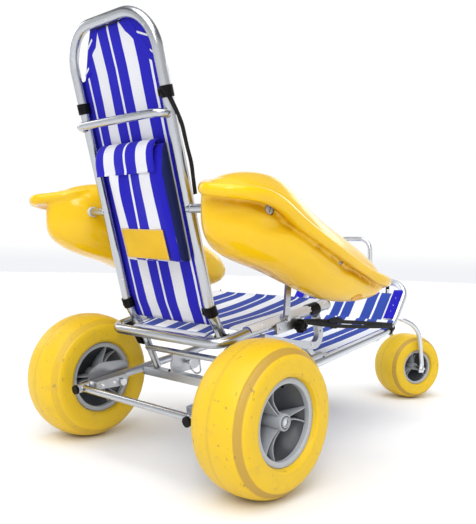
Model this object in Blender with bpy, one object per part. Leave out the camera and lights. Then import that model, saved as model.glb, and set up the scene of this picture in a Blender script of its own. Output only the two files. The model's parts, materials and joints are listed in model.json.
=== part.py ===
"""Floating three-wheeled beach cart: a reclining fabric seat on an aluminium tube frame with balloon wheels.

Run it with  blender --background --python part.py  or from Blender's text editor.
Metres, +Z up. The origin is on the ground under the middle of the cart. The cart faces -Y, and +X is its
user's left. Most places are given by point(x, ahead, z): sideways from the middle, forward of the rear
axle, and up from the ground.
"""

from math import acos, atan2, ceil, cos, hypot, pi, radians, sin, tan

import bmesh
import bpy
from mathutils import Matrix, Vector

# Driving dimensions
AXLE_Y = 0.6626  # the rear axle's place along Y, which centres the cart on its origin
GAP = 0.0003  # between pieces that touch
REAR_RADIUS = 0.210
REAR_WIDTH = 0.187
REAR_RIM = 0.114
HALF_TRACK = 0.399
FRONT_RADIUS = 0.144
FRONT_WIDTH = 0.162
FRONT_RIM = 0.073
STEM_AHEAD = 1.330
TRAIL = 0.120
CASTER_YAW = radians(22.5)  # how far the front wheel has swivelled towards the user's right
AXLE_R = 0.008

RAIL_X, RAIL_FRONT_X, RAIL_R = 0.260, 0.250, 0.014
RAIL_REAR, RAIL_KNEE, RAIL_TOE = (-0.140, 0.195), (0.925, 0.361), (1.052, 0.537)  # (ahead, z)
RAIL_SPLICE = 1.0000  # where the foot bar's legs meet the rails
KNEE_BEND, TOE_BEND = 0.150, 0.075
REAR_CROSS, REAR_CROSS_R = (-0.122, 0.1978), 0.0110
UPPER_CROSS, UPPER_CROSS_R = (0.080, 0.322), 0.0095
FRONT_CROSS, FRONT_CROSS_R = (0.860, 0.333), 0.0125
CHANNEL_REAR, CHANNEL_FRONT = (0.118, 0.242), (0.160, 0.216)  # top rear and lower front edges of the channel
CHANNEL_WALL = 0.0055
STAY_TOP, STAY_FOOT, STAY_R = (0.079, 0.358), (0.1395, 0.2425), 0.0125
PLATE_THICK, BLOCK_WIDE = 0.005, 0.034  # the axle's plates and blocks

CROWN_Z = 0.372  # underside of the caster's stem housing
STEM_R, HOUSING_R, HOUSING_TALL = 0.0095, 0.0155, 0.130
FORK_R, FORK_CLEAR = 0.010, 0.020
ARM_R = 0.0150
PULL_X, PULL_R = 0.078, 0.0095
PULL_FOOT, PULL_TOP = (1.052, 0.5372), (1.040, 0.711)

SEAT_X, SEAT_R = 0.250, 0.016
SEAT_REAR, SEAT_MID, SEAT_FRONT = (-0.013, 0.386), (0.110, 0.414), (0.500, 0.479)
SEAT_BEND = 0.050

BACK_X, BACK_R = 0.190, 0.0155
HINGE = (0.055, 0.395)  # the backrest's pivot bolts
BACK_KNEE = (0.001, 0.478)
BACK_TOP = (-0.250, 1.289)
BACK_BEND, KNEE_ARC = 0.115, 0.16
HANDLE_X, HANDLE_R = 0.200, 0.0120

FLOAT_TUBE, FLOAT_TUBE_R = (-0.094, 0.765), 0.0125
FLOAT_STUB_X = 0.484  # where the tubes that carry the floats end
FLOAT_PIN, SLEEVE_R = (0.252, 0.630), 0.0090
PIN_R = 0.0045
LOCK_HOLE, LOCK_PIN_R = (0.150, 0.2815), 0.0040
LOCK_CHAIN_R = 0.0022
LOCK_CHAIN = (  # (x, ahead, z) from under the pin's head to the upper cross tube
    (0.045, 0.150, 0.2712), (0.038, 0.150, 0.2600), (0.010, 0.146, 0.2500), (-0.030, 0.126, 0.2640),
    (-0.052, 0.102, 0.2900), (-0.060, 0.0886, 0.3133),
)  # fmt: skip
STRUT_FOOT = (0.243, 0.449)
STRUT_X, STRUT_THICK, STRUT_WIDE = 0.2790, 0.0080, 0.024
EYE_R = 0.0098  # roomy, because the armrest linkage is open at this pivot

TUBE_SIDES, ROD_SIDES = 14, 10

COLOURS = {
    "aluminium": ((0.72, 0.73, 0.75), 0.30, 1.0),
    "steel": ((0.60, 0.60, 0.62), 0.25, 1.0),
    "yellow_tyre": ((0.95, 0.72, 0.06), 0.55, 0.0),
    "yellow_float": ((0.98, 0.72, 0.02), 0.20, 0.0),
    "grey_hub": ((0.36, 0.38, 0.41), 0.45, 0.0),
    "black_plastic": ((0.02, 0.02, 0.02), 0.45, 0.0),
    "webbing": ((0.02, 0.02, 0.02), 0.85, 0.0),
    "fabric": ((0.06, 0.06, 0.62), 0.80, 0.0),
}

PIVOTS = {}  # body name to the empty on its joint's axis


def point(x, ahead, z):
    return Vector((x, AXLE_Y - ahead, z))


def clear_scene():
    for old in list(bpy.data.objects):
        bpy.data.objects.remove(old, do_unlink=True)


def material(slot):
    found = bpy.data.materials.get(slot)
    if found:
        return found
    colour, roughness, metallic = COLOURS[slot]
    made = bpy.data.materials.new(slot)
    made.use_nodes = True
    shader = made.node_tree.nodes["Principled BSDF"]
    shader.inputs["Base Color"].default_value = (*colour, 1.0)
    shader.inputs["Roughness"].default_value = roughness
    shader.inputs["Metallic"].default_value = metallic
    return made


def pivot(body, place, parent=None):
    """An empty on the joint's axis, which carries everything in the body."""
    empty = bpy.data.objects.new(body + "_pivot", None)
    bpy.context.collection.objects.link(empty)
    empty.location = place - (PIVOTS[parent].matrix_world.translation if parent else Vector())
    empty.parent = PIVOTS[parent] if parent else None
    bpy.context.view_layer.update()
    PIVOTS[body] = empty


def add_piece(name, mesh, slot, body="chassis", smooth=40.0):
    """Makes the node from a mesh given in the cart's frame, and hangs it on its body's empty."""
    mesh.name = name
    mesh.materials.clear()
    mesh.materials.append(material(slot))
    mesh.shade_smooth()
    mesh.set_sharp_from_angle(angle=radians(smooth))
    mesh.transform(Matrix.Translation(-PIVOTS[body].matrix_world.translation))
    piece = bpy.data.objects.new(name, mesh)
    bpy.context.collection.objects.link(piece)
    piece.parent = PIVOTS[body]
    return piece


def mesh_from(form, name="shape"):
    bmesh.ops.recalc_face_normals(form, faces=form.faces)
    mesh = bpy.data.meshes.new(name)
    form.to_mesh(mesh)
    form.free()
    return mesh


def boolean(piece, cutter_mesh, operation="DIFFERENCE"):
    """Cuts the mesh out of the piece, or joins it on; the mesh is given in the cart's frame."""
    cutter_mesh.transform(Matrix.Translation(-piece.parent.matrix_world.translation))
    cutter = bpy.data.objects.new(piece.name + "_cutter", cutter_mesh)
    bpy.context.collection.objects.link(cutter)
    cutter.parent = piece.parent
    cutter.hide_render = True
    cutter.display_type = "WIRE"
    step = piece.modifiers.new(operation.title(), "BOOLEAN")
    step.operation = operation
    step.object = cutter


# Shapes


def rounded(corners, bends, step=radians(18)):
    """The corners joined by straight runs, with an arc of the given radius at each inner corner."""
    route = [corners[0]]
    for before, corner, after, bend in zip(corners, corners[1:-1], corners[2:], bends):
        back = (before - corner).normalized()
        on = (after - corner).normalized()
        turn = pi - acos(max(-1.0, min(1.0, back.dot(on))))
        reach = bend * tan(turn / 2)
        centre = corner + (back + on).normalized() * (bend / cos(turn / 2))
        start = corner + back * reach - centre
        spin_axis = start.cross(corner + on * reach - centre)
        pieces = max(2, ceil(turn / step))
        for i in range(pieces + 1):
            route.append(centre + Matrix.Rotation(turn * i / pieces, 3, spin_axis) @ start)
    return route + [corners[-1]]


def flowing(spots, pieces):
    """A smooth curve through the spots, with the given number of short runs between each two."""
    padded = [spots[0] * 2 - spots[1], *spots, spots[-1] * 2 - spots[-2]]
    route = []
    for before, start, end, after in zip(padded, padded[1:], padded[2:], padded[3:]):
        for i in range(pieces):
            t = i / pieces
            pull = (end - before) / 2 * (t - 2 * t**2 + t**3) + (after - start) / 2 * (t**3 - t**2)
            route.append(start * (1 - 3 * t**2 + 2 * t**3) + end * (3 * t**2 - 2 * t**3) + pull)
    return route + [spots[-1]]


def tube_mesh(route, radius, sides=TUBE_SIDES):
    """A round bar along the route, from a bevelled curve with filled ends."""
    curve = bpy.data.curves.new("route", "CURVE")
    curve.dimensions = "3D"
    spline = curve.splines.new("POLY")
    spline.points.add(len(route) - 1)
    for place, spot in zip(spline.points, route):
        place.co = (*spot, 1.0)
    curve.bevel_depth = radius
    curve.bevel_resolution = sides // 2 - 2
    curve.use_fill_caps = True
    holder = bpy.data.objects.new("route", curve)
    bpy.context.collection.objects.link(holder)
    mesh = bpy.data.meshes.new_from_object(holder.evaluated_get(bpy.context.evaluated_depsgraph_get()))
    bpy.data.objects.remove(holder)
    form = bmesh.new()
    form.from_mesh(mesh)
    bmesh.ops.remove_doubles(form, verts=form.verts, dist=1e-6)
    return mesh_from(form)


def plate_mesh(outline, x_low, x_high):
    """An outline of (ahead, z) points, extruded sideways from x_low to x_high."""
    form = bmesh.new()
    face = form.faces.new([form.verts.new(point(x_low, ahead, z)) for ahead, z in outline])
    made = bmesh.ops.extrude_face_region(form, geom=[face])
    moved = [part for part in made["geom"] if isinstance(part, bmesh.types.BMVert)]
    bmesh.ops.translate(form, verts=moved, vec=(x_high - x_low, 0, 0))
    return mesh_from(form)


def along(path, half):
    """The outline of a strip of the given half width on an (ahead, z) path, with mitred corners."""
    left, right = [], []
    for i, (ahead, z) in enumerate(path):
        before = path[max(i - 1, 0)]
        after = path[min(i + 1, len(path) - 1)]
        run, rise = after[0] - before[0], after[1] - before[1]
        scale = half / hypot(run, rise)
        left.append((ahead - rise * scale, z + run * scale))
        right.append((ahead + rise * scale, z - run * scale))
    return left + right[::-1]


def bent(path, bends):
    """An (ahead, z) path with its inner corners rounded."""
    route = rounded([Vector((ahead, 0, z)) for ahead, z in path], bends)
    return [(spot.x, spot.z) for spot in route]


def disc_outline(centre, radius, sides=16):
    return [
        (centre[0] + radius * cos(2 * pi * i / sides), centre[1] + radius * sin(2 * pi * i / sides))
        for i in range(sides)
    ]


def stadium(first, second, radius, sides=8):
    """The outline round two (ahead, z) centres, with round ends."""
    lean = atan2(second[1] - first[1], second[0] - first[0])
    outline = []
    for centre, start in ((second, lean - pi / 2), (first, lean + pi / 2)):
        for i in range(sides + 1):
            turn = start + pi * i / sides
            outline.append((centre[0] + radius * cos(turn), centre[1] + radius * sin(turn)))
    return outline


def cylinder_mesh(start, end, radius, sides=ROD_SIDES):
    return tube_mesh([start, end], radius, sides)


def box_mesh(low, high):
    form = bmesh.new()
    bmesh.ops.create_cube(form, size=1.0)
    bmesh.ops.scale(form, vec=high - low, verts=form.verts)
    bmesh.ops.translate(form, vec=(low + high) / 2, verts=form.verts)
    return mesh_from(form)


def turned_mesh(profile, centre, axis, segments=40):
    """A closed (offset along the axis, radius) profile spun round the axis through centre."""
    form = bmesh.new()
    axis = axis.normalized()
    out = axis.orthogonal().normalized()
    ring = [form.verts.new(centre + axis * offset + out * radius) for offset, radius in profile]
    edges = [form.edges.new(pair) for pair in zip(ring, ring[1:] + ring[:1])]
    bmesh.ops.spin(
        form, geom=ring + edges, cent=centre, axis=axis, angle=2 * pi, steps=segments, use_merge=True
    )
    bmesh.ops.remove_doubles(form, verts=form.verts, dist=1e-6)
    return mesh_from(form)


def loft_mesh(rings):
    """Closed rings of equal count bridged one to the next, with both ends filled."""
    form = bmesh.new()
    rows = [[form.verts.new(spot) for spot in ring] for ring in rings]
    for low, high in zip(rows, rows[1:]):
        for i in range(len(low)):
            j = (i + 1) % len(low)
            form.faces.new((low[i], low[j], high[j], high[i]))
    form.faces.new(rows[0])
    form.faces.new(rows[-1])
    return mesh_from(form)


# Wheels


def tyre_profile(radius, width, rim, lip):
    """One side's crown, shoulder, cheek and bead as (share of half width, share of height) points."""
    shape = ((0.0, 1.0), (0.42, 0.985), (0.72, 0.915), (0.93, 0.76), (1.0, 0.52), (0.96, 0.25), (0.86, 0.0))
    height = radius - rim
    side = [(across * width / 2, rim + up * height) for across, up in shape]
    side[-1] = (lip, rim)
    return side + [(-across, r) for across, r in reversed(side[1:])]


def add_wheel(tag, body, centre, axis, radius, width, rim, segments):
    lip = width * 0.43
    tyre = turned_mesh(tyre_profile(radius, width, rim + 4 * GAP, lip), centre, axis, segments)
    add_piece(tag + "_tyre", tyre, "yellow_tyre", body)
    wall, boss = rim * 0.11, rim * 0.20
    web = width * 0.06
    boss_half = width * 0.36
    barrel = (
        (-lip, rim), (lip, rim), (lip, rim - wall), (web, rim - 2 * wall), (web, boss), (boss_half, boss),
        (boss_half, AXLE_R + 2 * GAP), (-boss_half, AXLE_R + 2 * GAP), (-boss_half, boss), (-web, boss),
        (-web, rim - 2 * wall), (-lip, rim - wall),
    )  # fmt: skip
    hub = add_piece(tag + "_hub", turned_mesh(barrel, centre, axis, 20), "grey_hub", body)
    axis = axis.normalized()
    out = axis.orthogonal().normalized()
    for side in (-1, 1):
        for i in range(3):
            spoke = Matrix.Rotation(2 * pi * i / 3, 3, axis) @ out
            across = spoke.cross(axis)
            inner = centre + spoke * (boss * 0.75)
            outer = centre + spoke * (rim - wall * 1.2)
            ring = []
            for end in (inner, outer):
                for wide, deep in ((-1, 0.3), (1, 0.3), (1, 0.9), (-1, 0.9)):
                    depth = side * (web + (boss_half - web) * deep * (1.0 if end is inner else 0.9))
                    if deep < 0.5:
                        depth = side * web * 0.5
                    ring.append(end + across * (wide * rim * 0.09) + axis * depth)
            boolean(hub, loft_mesh([ring[:4], ring[4:]]), "UNION")


def add_rear_wheels():
    for tag, side in (("left", 1), ("right", -1)):
        body = "wheel_" + tag
        centre = point(side * HALF_TRACK, 0, REAR_RADIUS)
        pivot(body, centre, "chassis")
        add_wheel(tag, body, centre, Vector((side, 0, 0)), REAR_RADIUS, REAR_WIDTH, REAR_RIM, 32)


def front_centre():
    return point(-TRAIL * sin(CASTER_YAW), STEM_AHEAD + TRAIL * cos(CASTER_YAW), FRONT_RADIUS)


def add_caster():
    """The fork with its stem swivels under the housing, and the front wheel spins on the fork's axle."""
    centre = front_centre()
    axle = Vector((cos(CASTER_YAW), -sin(CASTER_YAW), 0))
    ahead = Vector((-sin(CASTER_YAW), -cos(CASTER_YAW), 0))
    stem = point(0, STEM_AHEAD, CROWN_Z)
    pivot("caster", stem, "chassis")
    pivot("front_wheel", centre, "caster")
    arm_x = FRONT_WIDTH / 2 + FORK_CLEAR
    up = Vector((0, 0, 1))
    route = []
    for side in (-1, 1):
        hip = stem + axle * (side * 0.075)
        knee = centre + axle * (side * arm_x) + up * 0.185 + ahead * -0.020
        foot = centre + axle * (side * arm_x) - up * 0.016
        leg = [foot, knee, hip]
        route += leg if side < 0 else leg[::-1]
    fork = tube_mesh(rounded(route, [0.10, 0.045, 0.045, 0.10]), FORK_R, ROD_SIDES)
    crown = add_piece("caster_fork", fork, "aluminium", "caster")
    boolean(crown, cylinder_mesh(stem - up * 0.012, stem + up * 0.125, STEM_R), "UNION")
    boolean(crown, cylinder_mesh(stem - up * 0.014, stem + up * 0.016, 0.021), "UNION")
    for side in (-1, 1):
        outer = centre + axle * (side * (arm_x + 0.03))
        inner = centre + axle * (side * (arm_x - 0.03))
        boolean(crown, cylinder_mesh(inner, outer, AXLE_R * 0.8 + GAP * 2))
    half = arm_x + 0.016
    shaft = cylinder_mesh(centre - axle * half, centre + axle * half, AXLE_R * 0.8)
    add_piece("front_axle", shaft, "steel", "caster")
    add_wheel("front", "front_wheel", centre, axle, FRONT_RADIUS, FRONT_WIDTH, FRONT_RIM, 28)


# Chassis


def rail_inside(ahead):
    """How far from the middle the inner face of a chassis rail is at this place; the rails draw in forwards."""
    share = (ahead - RAIL_REAR[0]) / (RAIL_KNEE[0] - RAIL_REAR[0])
    return RAIL_X + share * (RAIL_FRONT_X - RAIL_X) - RAIL_R - 2 * GAP


def rail_route(side):
    knee = point(side * RAIL_FRONT_X, *RAIL_KNEE)
    rear = point(side * RAIL_X, *RAIL_REAR)
    toe = point(side * RAIL_FRONT_X, *RAIL_TOE)
    share = (RAIL_SPLICE - RAIL_KNEE[0]) / (RAIL_TOE[0] - RAIL_KNEE[0])
    splice = knee.lerp(toe, share)
    return rear, knee, toe, splice


def axle_bore(side):
    """The running hole for the rear axle, through a rail and the pieces beside it."""
    inner, outer = point(side * 0.19, 0, REAR_RADIUS), point(side * 0.32, 0, REAR_RADIUS)
    return cylinder_mesh(inner, outer, AXLE_R + 2 * GAP)


def add_chassis_frame():
    for tag, side in (("left", 1), ("right", -1)):
        rear, knee, toe, splice = rail_route(side)
        rail = add_piece("rail_" + tag, tube_mesh(rounded([rear, knee, splice], [KNEE_BEND]), RAIL_R), "aluminium")
        boolean(rail, axle_bore(side))
        run = (rear - knee).normalized()
        cap = cylinder_mesh(rear + run * GAP, rear + run * 0.010, RAIL_R + 0.0008)
        add_piece("rail_cap_" + tag, cap, "black_plastic")
    _, _, toe_l, splice_l = rail_route(1)
    _, _, toe_r, splice_r = rail_route(-1)
    lift = (toe_l - splice_l).normalized() * GAP
    corners = [splice_l + lift, toe_l, toe_r, splice_r + lift]
    add_piece("foot_bar", tube_mesh(rounded(corners, [TOE_BEND, TOE_BEND]), RAIL_R), "aluminium")

    tubes = (
        ("rear_cross_tube", rail_inside(REAR_CROSS[0] + REAR_CROSS_R), REAR_CROSS, REAR_CROSS_R),
        ("upper_cross_tube", BACK_X - STAY_R - 2 * GAP, UPPER_CROSS, UPPER_CROSS_R),
    )
    for name, half, spot, radius in tubes:
        cross = cylinder_mesh(point(-half, *spot), point(half, *spot), radius, TUBE_SIDES)
        add_piece(name, cross, "aluminium")
    half = rail_inside(CHANNEL_FRONT[0] + CHANNEL_WALL)
    low, high = point(-half, *CHANNEL_FRONT), point(half, *CHANNEL_REAR)
    channel = add_piece("lower_cross_channel", box_mesh(low, high), "aluminium")
    hollow_low = point(-RAIL_X, CHANNEL_FRONT[0] - CHANNEL_WALL, CHANNEL_FRONT[1] - CHANNEL_WALL)
    hollow_high = point(RAIL_X, CHANNEL_REAR[0] + CHANNEL_WALL, CHANNEL_REAR[1] - CHANNEL_WALL)
    boolean(channel, box_mesh(hollow_low, hollow_high))


def add_seat_stays():
    """The two legs that carry the seat and the backrest's pivots on the lower cross channel."""
    for tag, side in (("left", 1), ("right", -1)):
        top, foot = point(side * BACK_X, *STAY_TOP), point(side * BACK_X, *STAY_FOOT)
        stay = add_piece("stay_" + tag, tube_mesh([top, foot], STAY_R), "aluminium")
        floor = CHANNEL_REAR[1] + GAP
        boolean(stay, box_mesh(point(side * BACK_X - 0.03, 0.20, 0.20), point(side * BACK_X + 0.03, 0.08, floor)))
        low, high = sorted((side * (BACK_X + BACK_R + 2 * GAP), side * (SEAT_X - SEAT_R - 0.0025)))
        block = plate_mesh(stadium(HINGE, (0.090, 0.338), 0.0125), low, high)
        block = add_piece("pivot_block_" + tag, block, "black_plastic")
        bolt = cylinder_mesh(point(side * 0.166, *HINGE), point(side * 0.22, *HINGE), PIN_R)
        boolean(block, bolt, "UNION")
        head = cylinder_mesh(point(side * 0.165, *HINGE), point(side * 0.172, *HINGE), 0.009)
        boolean(block, head, "UNION")


def add_axles():
    for tag, side in (("left", 1), ("right", -1)):
        hub_end = HALF_TRACK + REAR_WIDTH * 0.36 + 0.010
        axle = cylinder_mesh(point(side * 0.2060, 0, REAR_RADIUS), point(side * hub_end, 0, REAR_RADIUS), AXLE_R, 16)
        axle = add_piece("axle_" + tag, axle, "steel")
        head = cylinder_mesh(point(side * 0.1990, 0, REAR_RADIUS), point(side * 0.2080, 0, REAR_RADIUS), 0.0115, 16)
        boolean(axle, head, "UNION")
        nut = cylinder_mesh(
            point(side * (hub_end - 0.008), 0, REAR_RADIUS), point(side * hub_end, 0, REAR_RADIUS), 0.013, 6
        )
        boolean(axle, nut, "UNION")
        outer = RAIL_X + RAIL_R + 2 * GAP
        outline = bent(
            [(-0.086, 0.188), (-0.086, 0.240), (-0.045, 0.268), (0.062, 0.268), (0.088, 0.200), (0.0, 0.183),
             (-0.086, 0.188)],
            [0.03, 0.03, 0.025, 0.02, 0.05],
        )[:-1]  # fmt: skip
        low, high = sorted((side * outer, side * (outer + PLATE_THICK)))
        plate = add_piece("axle_plate_" + tag, plate_mesh(outline, low, high), "aluminium")
        boolean(plate, axle_bore(side))
        inner = rail_inside(0.025)
        low, high = sorted((side * (inner - BLOCK_WIDE), side * inner))
        outline = along([(-0.100, 0.203), (0.020, 0.2175)], 0.0170)
        block = add_piece("axle_block_" + tag, plate_mesh(outline, low, high), "aluminium")
        boolean(block, axle_bore(side))
        slot_low, slot_high = sorted((side * 0.195, side * 0.238))
        boolean(block, box_mesh(point(slot_low, -0.020, 0.10), point(slot_high, -0.120, 0.196)))


def seat_spot(ahead):
    """The (ahead, z) place on the straight part of the seat's rails."""
    share = (ahead - SEAT_MID[0]) / (SEAT_FRONT[0] - SEAT_MID[0])
    return ahead, SEAT_MID[1] + share * (SEAT_FRONT[1] - SEAT_MID[1])


def add_seat_frame():
    """The seat tube is one U that is open at the front, where a bar joins its two rails."""
    corners = []
    for side in (1, -1):
        rail = [point(side * SEAT_X, *spot) for spot in (SEAT_FRONT, SEAT_MID, SEAT_REAR)]
        corners += rail if side > 0 else rail[::-1]
    loop = rounded(corners, [0.25, SEAT_BEND, SEAT_BEND, 0.25])
    add_piece("seat_loop", tube_mesh(loop, SEAT_R), "aluminium")
    half = SEAT_X - SEAT_R - 2 * GAP
    spot = seat_spot(SEAT_FRONT[0] - 0.016)
    bar = cylinder_mesh(point(-half, *spot), point(half, *spot), 0.011, TUBE_SIDES)
    add_piece("seat_front_bar", bar, "aluminium")


def add_hooks():
    """Flat hooks that carry the seat rails on the chassis rails, each with a clamp cap on the seat rail."""
    hook = bent([(0.165, 0.392), (0.330, 0.3590), (0.4720, 0.3400), (0.4350, 0.4440)], [0.20, 0.035])
    link = [(0.384, 0.350), (0.430, 0.3075)]
    for tag, side in (("left", 1), ("right", -1)):
        low, high = SEAT_X - 0.010, SEAT_X + 0.010
        low, high = sorted((side * low, side * high))
        piece = add_piece("hook_" + tag, plate_mesh(along(hook, 0.0120), low, high), "aluminium")
        boolean(piece, plate_mesh(along(link, 0.0095), *sorted((side * 0.2455, side * 0.2565))), "UNION")
        rail_foot = cylinder_mesh(point(side * 0.2525, 0.396, 0.3023), point(side * 0.2525, 0.462, 0.3123), 0.0125)
        boolean(piece, rail_foot, "UNION")
        rear, knee, _, _ = rail_route(side)
        boolean(piece, tube_mesh([rear, knee], RAIL_R + 2 * GAP))
        seat = [point(side * SEAT_X, *SEAT_MID), point(side * SEAT_X, *seat_spot(0.54))]
        boolean(piece, tube_mesh(seat, SEAT_R + 2 * GAP))
        ring = tube_mesh([point(side * SEAT_X, *seat_spot(ahead)) for ahead in (0.388, 0.434)], SEAT_R + 0.006)
        clamp = add_piece("hook_cap_" + tag, ring, "black_plastic")
        boolean(clamp, tube_mesh(seat, SEAT_R + 2 * GAP))
        boolean(clamp, box_mesh(point(side * SEAT_X - 0.03, 0.50, 0.40), point(side * SEAT_X + 0.03, 0.35, 0.4500)))


def add_recline_lock():
    """The lock plate hangs on the upper cross tube, and a chain ties its pin to the frame."""
    outline = stadium((0.112, 0.276), (0.185, 0.283), 0.030)
    plate = add_piece("lock_plate", plate_mesh(outline, 0.060, 0.066), "aluminium")
    arm = box_mesh(point(0.060, 0.130, 0.262), point(0.066, 0.0885, 0.3115))
    boolean(plate, arm, "UNION")
    boolean(plate, cylinder_mesh(point(0.03, *UPPER_CROSS), point(0.10, *UPPER_CROSS), UPPER_CROSS_R + 2 * GAP))
    boolean(plate, cylinder_mesh(point(0.03, *LOCK_HOLE), point(0.10, *LOCK_HOLE), LOCK_PIN_R + 2 * GAP))
    pivot("lock_pin", point(0.050, *LOCK_HOLE), "chassis")
    pin = cylinder_mesh(point(0.044, *LOCK_HOLE), point(0.092, *LOCK_HOLE), LOCK_PIN_R)
    pin = add_piece("lock_pin", pin, "steel", "lock_pin")
    boolean(pin, cylinder_mesh(point(0.040, *LOCK_HOLE), point(0.050, *LOCK_HOLE), 0.0075), "UNION")
    chain = flowing([point(*spot) for spot in LOCK_CHAIN], 3)
    add_piece("lock_chain", tube_mesh(chain, LOCK_CHAIN_R, 8), "steel")


def add_front_end():
    """The arm to the caster's stem housing, the cross tube that carries it, and the pull handle."""
    up = Vector((0, 0, 1))
    stem = point(0, STEM_AHEAD, CROWN_Z)
    housing = cylinder_mesh(stem + up * 0.0175, stem + up * HOUSING_TALL, HOUSING_R, TUBE_SIDES)
    housing = add_piece("stem_housing", housing, "aluminium")
    boolean(housing, cylinder_mesh(stem, stem + up * (HOUSING_TALL - 0.0035), STEM_R + 0.0008))
    arm = [point(0, *FRONT_CROSS), point(0, 1.070, 0.348), point(0, STEM_AHEAD - 0.010, 0.426)]
    arm = add_piece("caster_arm", tube_mesh(rounded(arm, [0.30]), ARM_R), "aluminium")
    boolean(arm, cylinder_mesh(stem, stem + up * 0.20, HOUSING_R + 2 * GAP, TUBE_SIDES))
    cross = [point(-RAIL_FRONT_X, *FRONT_CROSS), point(RAIL_FRONT_X, *FRONT_CROSS)]
    boolean(arm, cylinder_mesh(*cross, FRONT_CROSS_R, TUBE_SIDES), "UNION")
    for side in (-1, 1):
        rear, knee, _, _ = rail_route(side)
        boolean(arm, tube_mesh([rear, knee], RAIL_R + 2 * GAP))
    corners = [point(-PULL_X, *PULL_FOOT), point(-PULL_X, *PULL_TOP), point(PULL_X, *PULL_TOP),
               point(PULL_X, *PULL_FOOT)]  # fmt: skip
    handle = add_piece("pull_handle", tube_mesh(rounded(corners, [0.045, 0.045]), PULL_R), "aluminium")
    bar = [point(-0.16, *RAIL_TOE), point(0.16, *RAIL_TOE)]
    boolean(handle, tube_mesh(bar, RAIL_R + 2 * GAP))


# Backrest


def add_backrest():
    pivot("backrest", point(0, *HINGE), "chassis")
    legs = []
    for side in (1, -1):
        leg = [point(side * BACK_X, *spot) for spot in (HINGE, BACK_KNEE, BACK_TOP)]
        legs += leg if side > 0 else leg[::-1]
    for end, knee in ((0, 1), (-1, -2)):
        legs[end] = legs[end] + (legs[end] - legs[knee]) * 0.10
    route = rounded(legs, [KNEE_ARC, BACK_BEND, BACK_BEND, KNEE_ARC])
    frame = tube_mesh(route, BACK_R)
    frame = add_piece("back_frame", frame, "aluminium", "backrest")
    for side in (1, -1):
        hole = [point(side * 0.15, *HINGE), point(side * 0.23, *HINGE)]
        boolean(frame, cylinder_mesh(*hole, PIN_R + 2 * GAP))
        stub = [point(side * BACK_X, *FLOAT_TUBE), point(side * FLOAT_STUB_X, *FLOAT_TUBE)]
        boolean(frame, cylinder_mesh(*stub, FLOAT_TUBE_R, TUBE_SIDES), "UNION")
    ahead, z = back_spot(1.0140)
    corners = [point(BACK_X, ahead, z), point(HANDLE_X, -0.207, z), point(-HANDLE_X, -0.207, z),
               point(-BACK_X, ahead, z)]  # fmt: skip
    handle = tube_mesh(rounded(corners, [0.028, 0.028]), HANDLE_R)
    handle = add_piece("push_handle", handle, "aluminium", "backrest")
    boolean(handle, tube_mesh(route, BACK_R + 2 * GAP))
    add_clips()


def back_spot(z):
    """The (ahead, z) place at height z on the backrest's legs, as if they ran straight to the knee."""
    low, high = (BACK_KNEE, BACK_TOP) if z > BACK_KNEE[1] else (HINGE, BACK_KNEE)
    share = (z - low[1]) / (high[1] - low[1])
    return low[0] + share * (high[0] - low[0]), z


def leg_route(side):
    """The backrest's leg from the pivot to below the top bend."""
    return rounded([point(side * BACK_X, *spot) for spot in (HINGE, BACK_KNEE, back_spot(1.16))], [KNEE_ARC])


def add_clips():
    for level, low, high in (("lower", 0.462, 0.490), ("upper", 1.058, 1.088)):
        for tag, side in (("left", 1), ("right", -1)):
            ends = [point(side * BACK_X, *back_spot(low)), point(side * BACK_X, *back_spot(high))]
            clip = add_piece(f"clip_{level}_{tag}", tube_mesh(ends, BACK_R + 0.0040), "black_plastic", "backrest")
            boolean(clip, tube_mesh(leg_route(side), BACK_R + GAP))


# Armrest floats


def float_stations():
    """(ahead, lowest z, lip z, crown z, inner x, outer x) along the float, rear to front."""
    return (
        (-0.248, 0.786, 0.800, 0.808, 0.372, 0.398),
        (-0.236, 0.780, 0.799, 0.818, 0.362, 0.424),
        (-0.208, 0.752, 0.798, 0.832, 0.340, 0.462),
        (-0.180, 0.680, 0.796, 0.842, 0.312, 0.480),
        (-0.150, 0.652, 0.793, 0.850, 0.284, 0.491),
        (-0.110, 0.634, 0.788, 0.857, 0.252, 0.498),
        (-0.030, 0.615, 0.768, 0.868, 0.245, 0.500),
        (0.080, 0.580, 0.727, 0.846, 0.258, 0.498),
        (0.190, 0.538, 0.684, 0.792, 0.2875, 0.492),
        (0.300, 0.507, 0.643, 0.744, 0.2890, 0.484),
        (0.410, 0.499, 0.601, 0.694, 0.2900, 0.470),
        (0.520, 0.508, 0.567, 0.640, 0.296, 0.448),
        (0.595, 0.530, 0.558, 0.600, 0.312, 0.418),
        (0.628, 0.548, 0.560, 0.580, 0.335, 0.385),
    )


def float_ring(station, side):
    """One cross section: a belly, a lip that stands out on the outer side, and a crown nearer the user."""
    ahead, floor, lip, crown, inner, outer = station
    wide, deep, rise = outer - inner, lip - floor, crown - lip
    flange = min(0.018, deep * 0.4)
    shape = (
        (0.50, -1.00, 0), (0.72, -0.92, 0), (0.87, -0.66, 0), (0.90, -0.36, 0), (0.91, 0.0, -flange),
        (1.00, 0.0, -flange * 0.75), (1.00, 0.0, 0.2 * flange), (0.90, 0.22, 0.0), (0.66, 0.78, 0.0),
        (0.40, 1.00, 0.0), (0.16, 0.82, 0.0), (0.02, 0.30, 0.0), (0.00, -0.30, 0.0), (0.08, -0.72, 0.0),
        (0.26, -0.95, 0.0),
    )  # fmt: skip
    ring = []
    for across, up, shift in shape:
        z = lip + (up * rise if up > 0 else up * deep) + shift
        ring.append(point(side * (inner + across * wide), ahead, z))
    return ring


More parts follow.
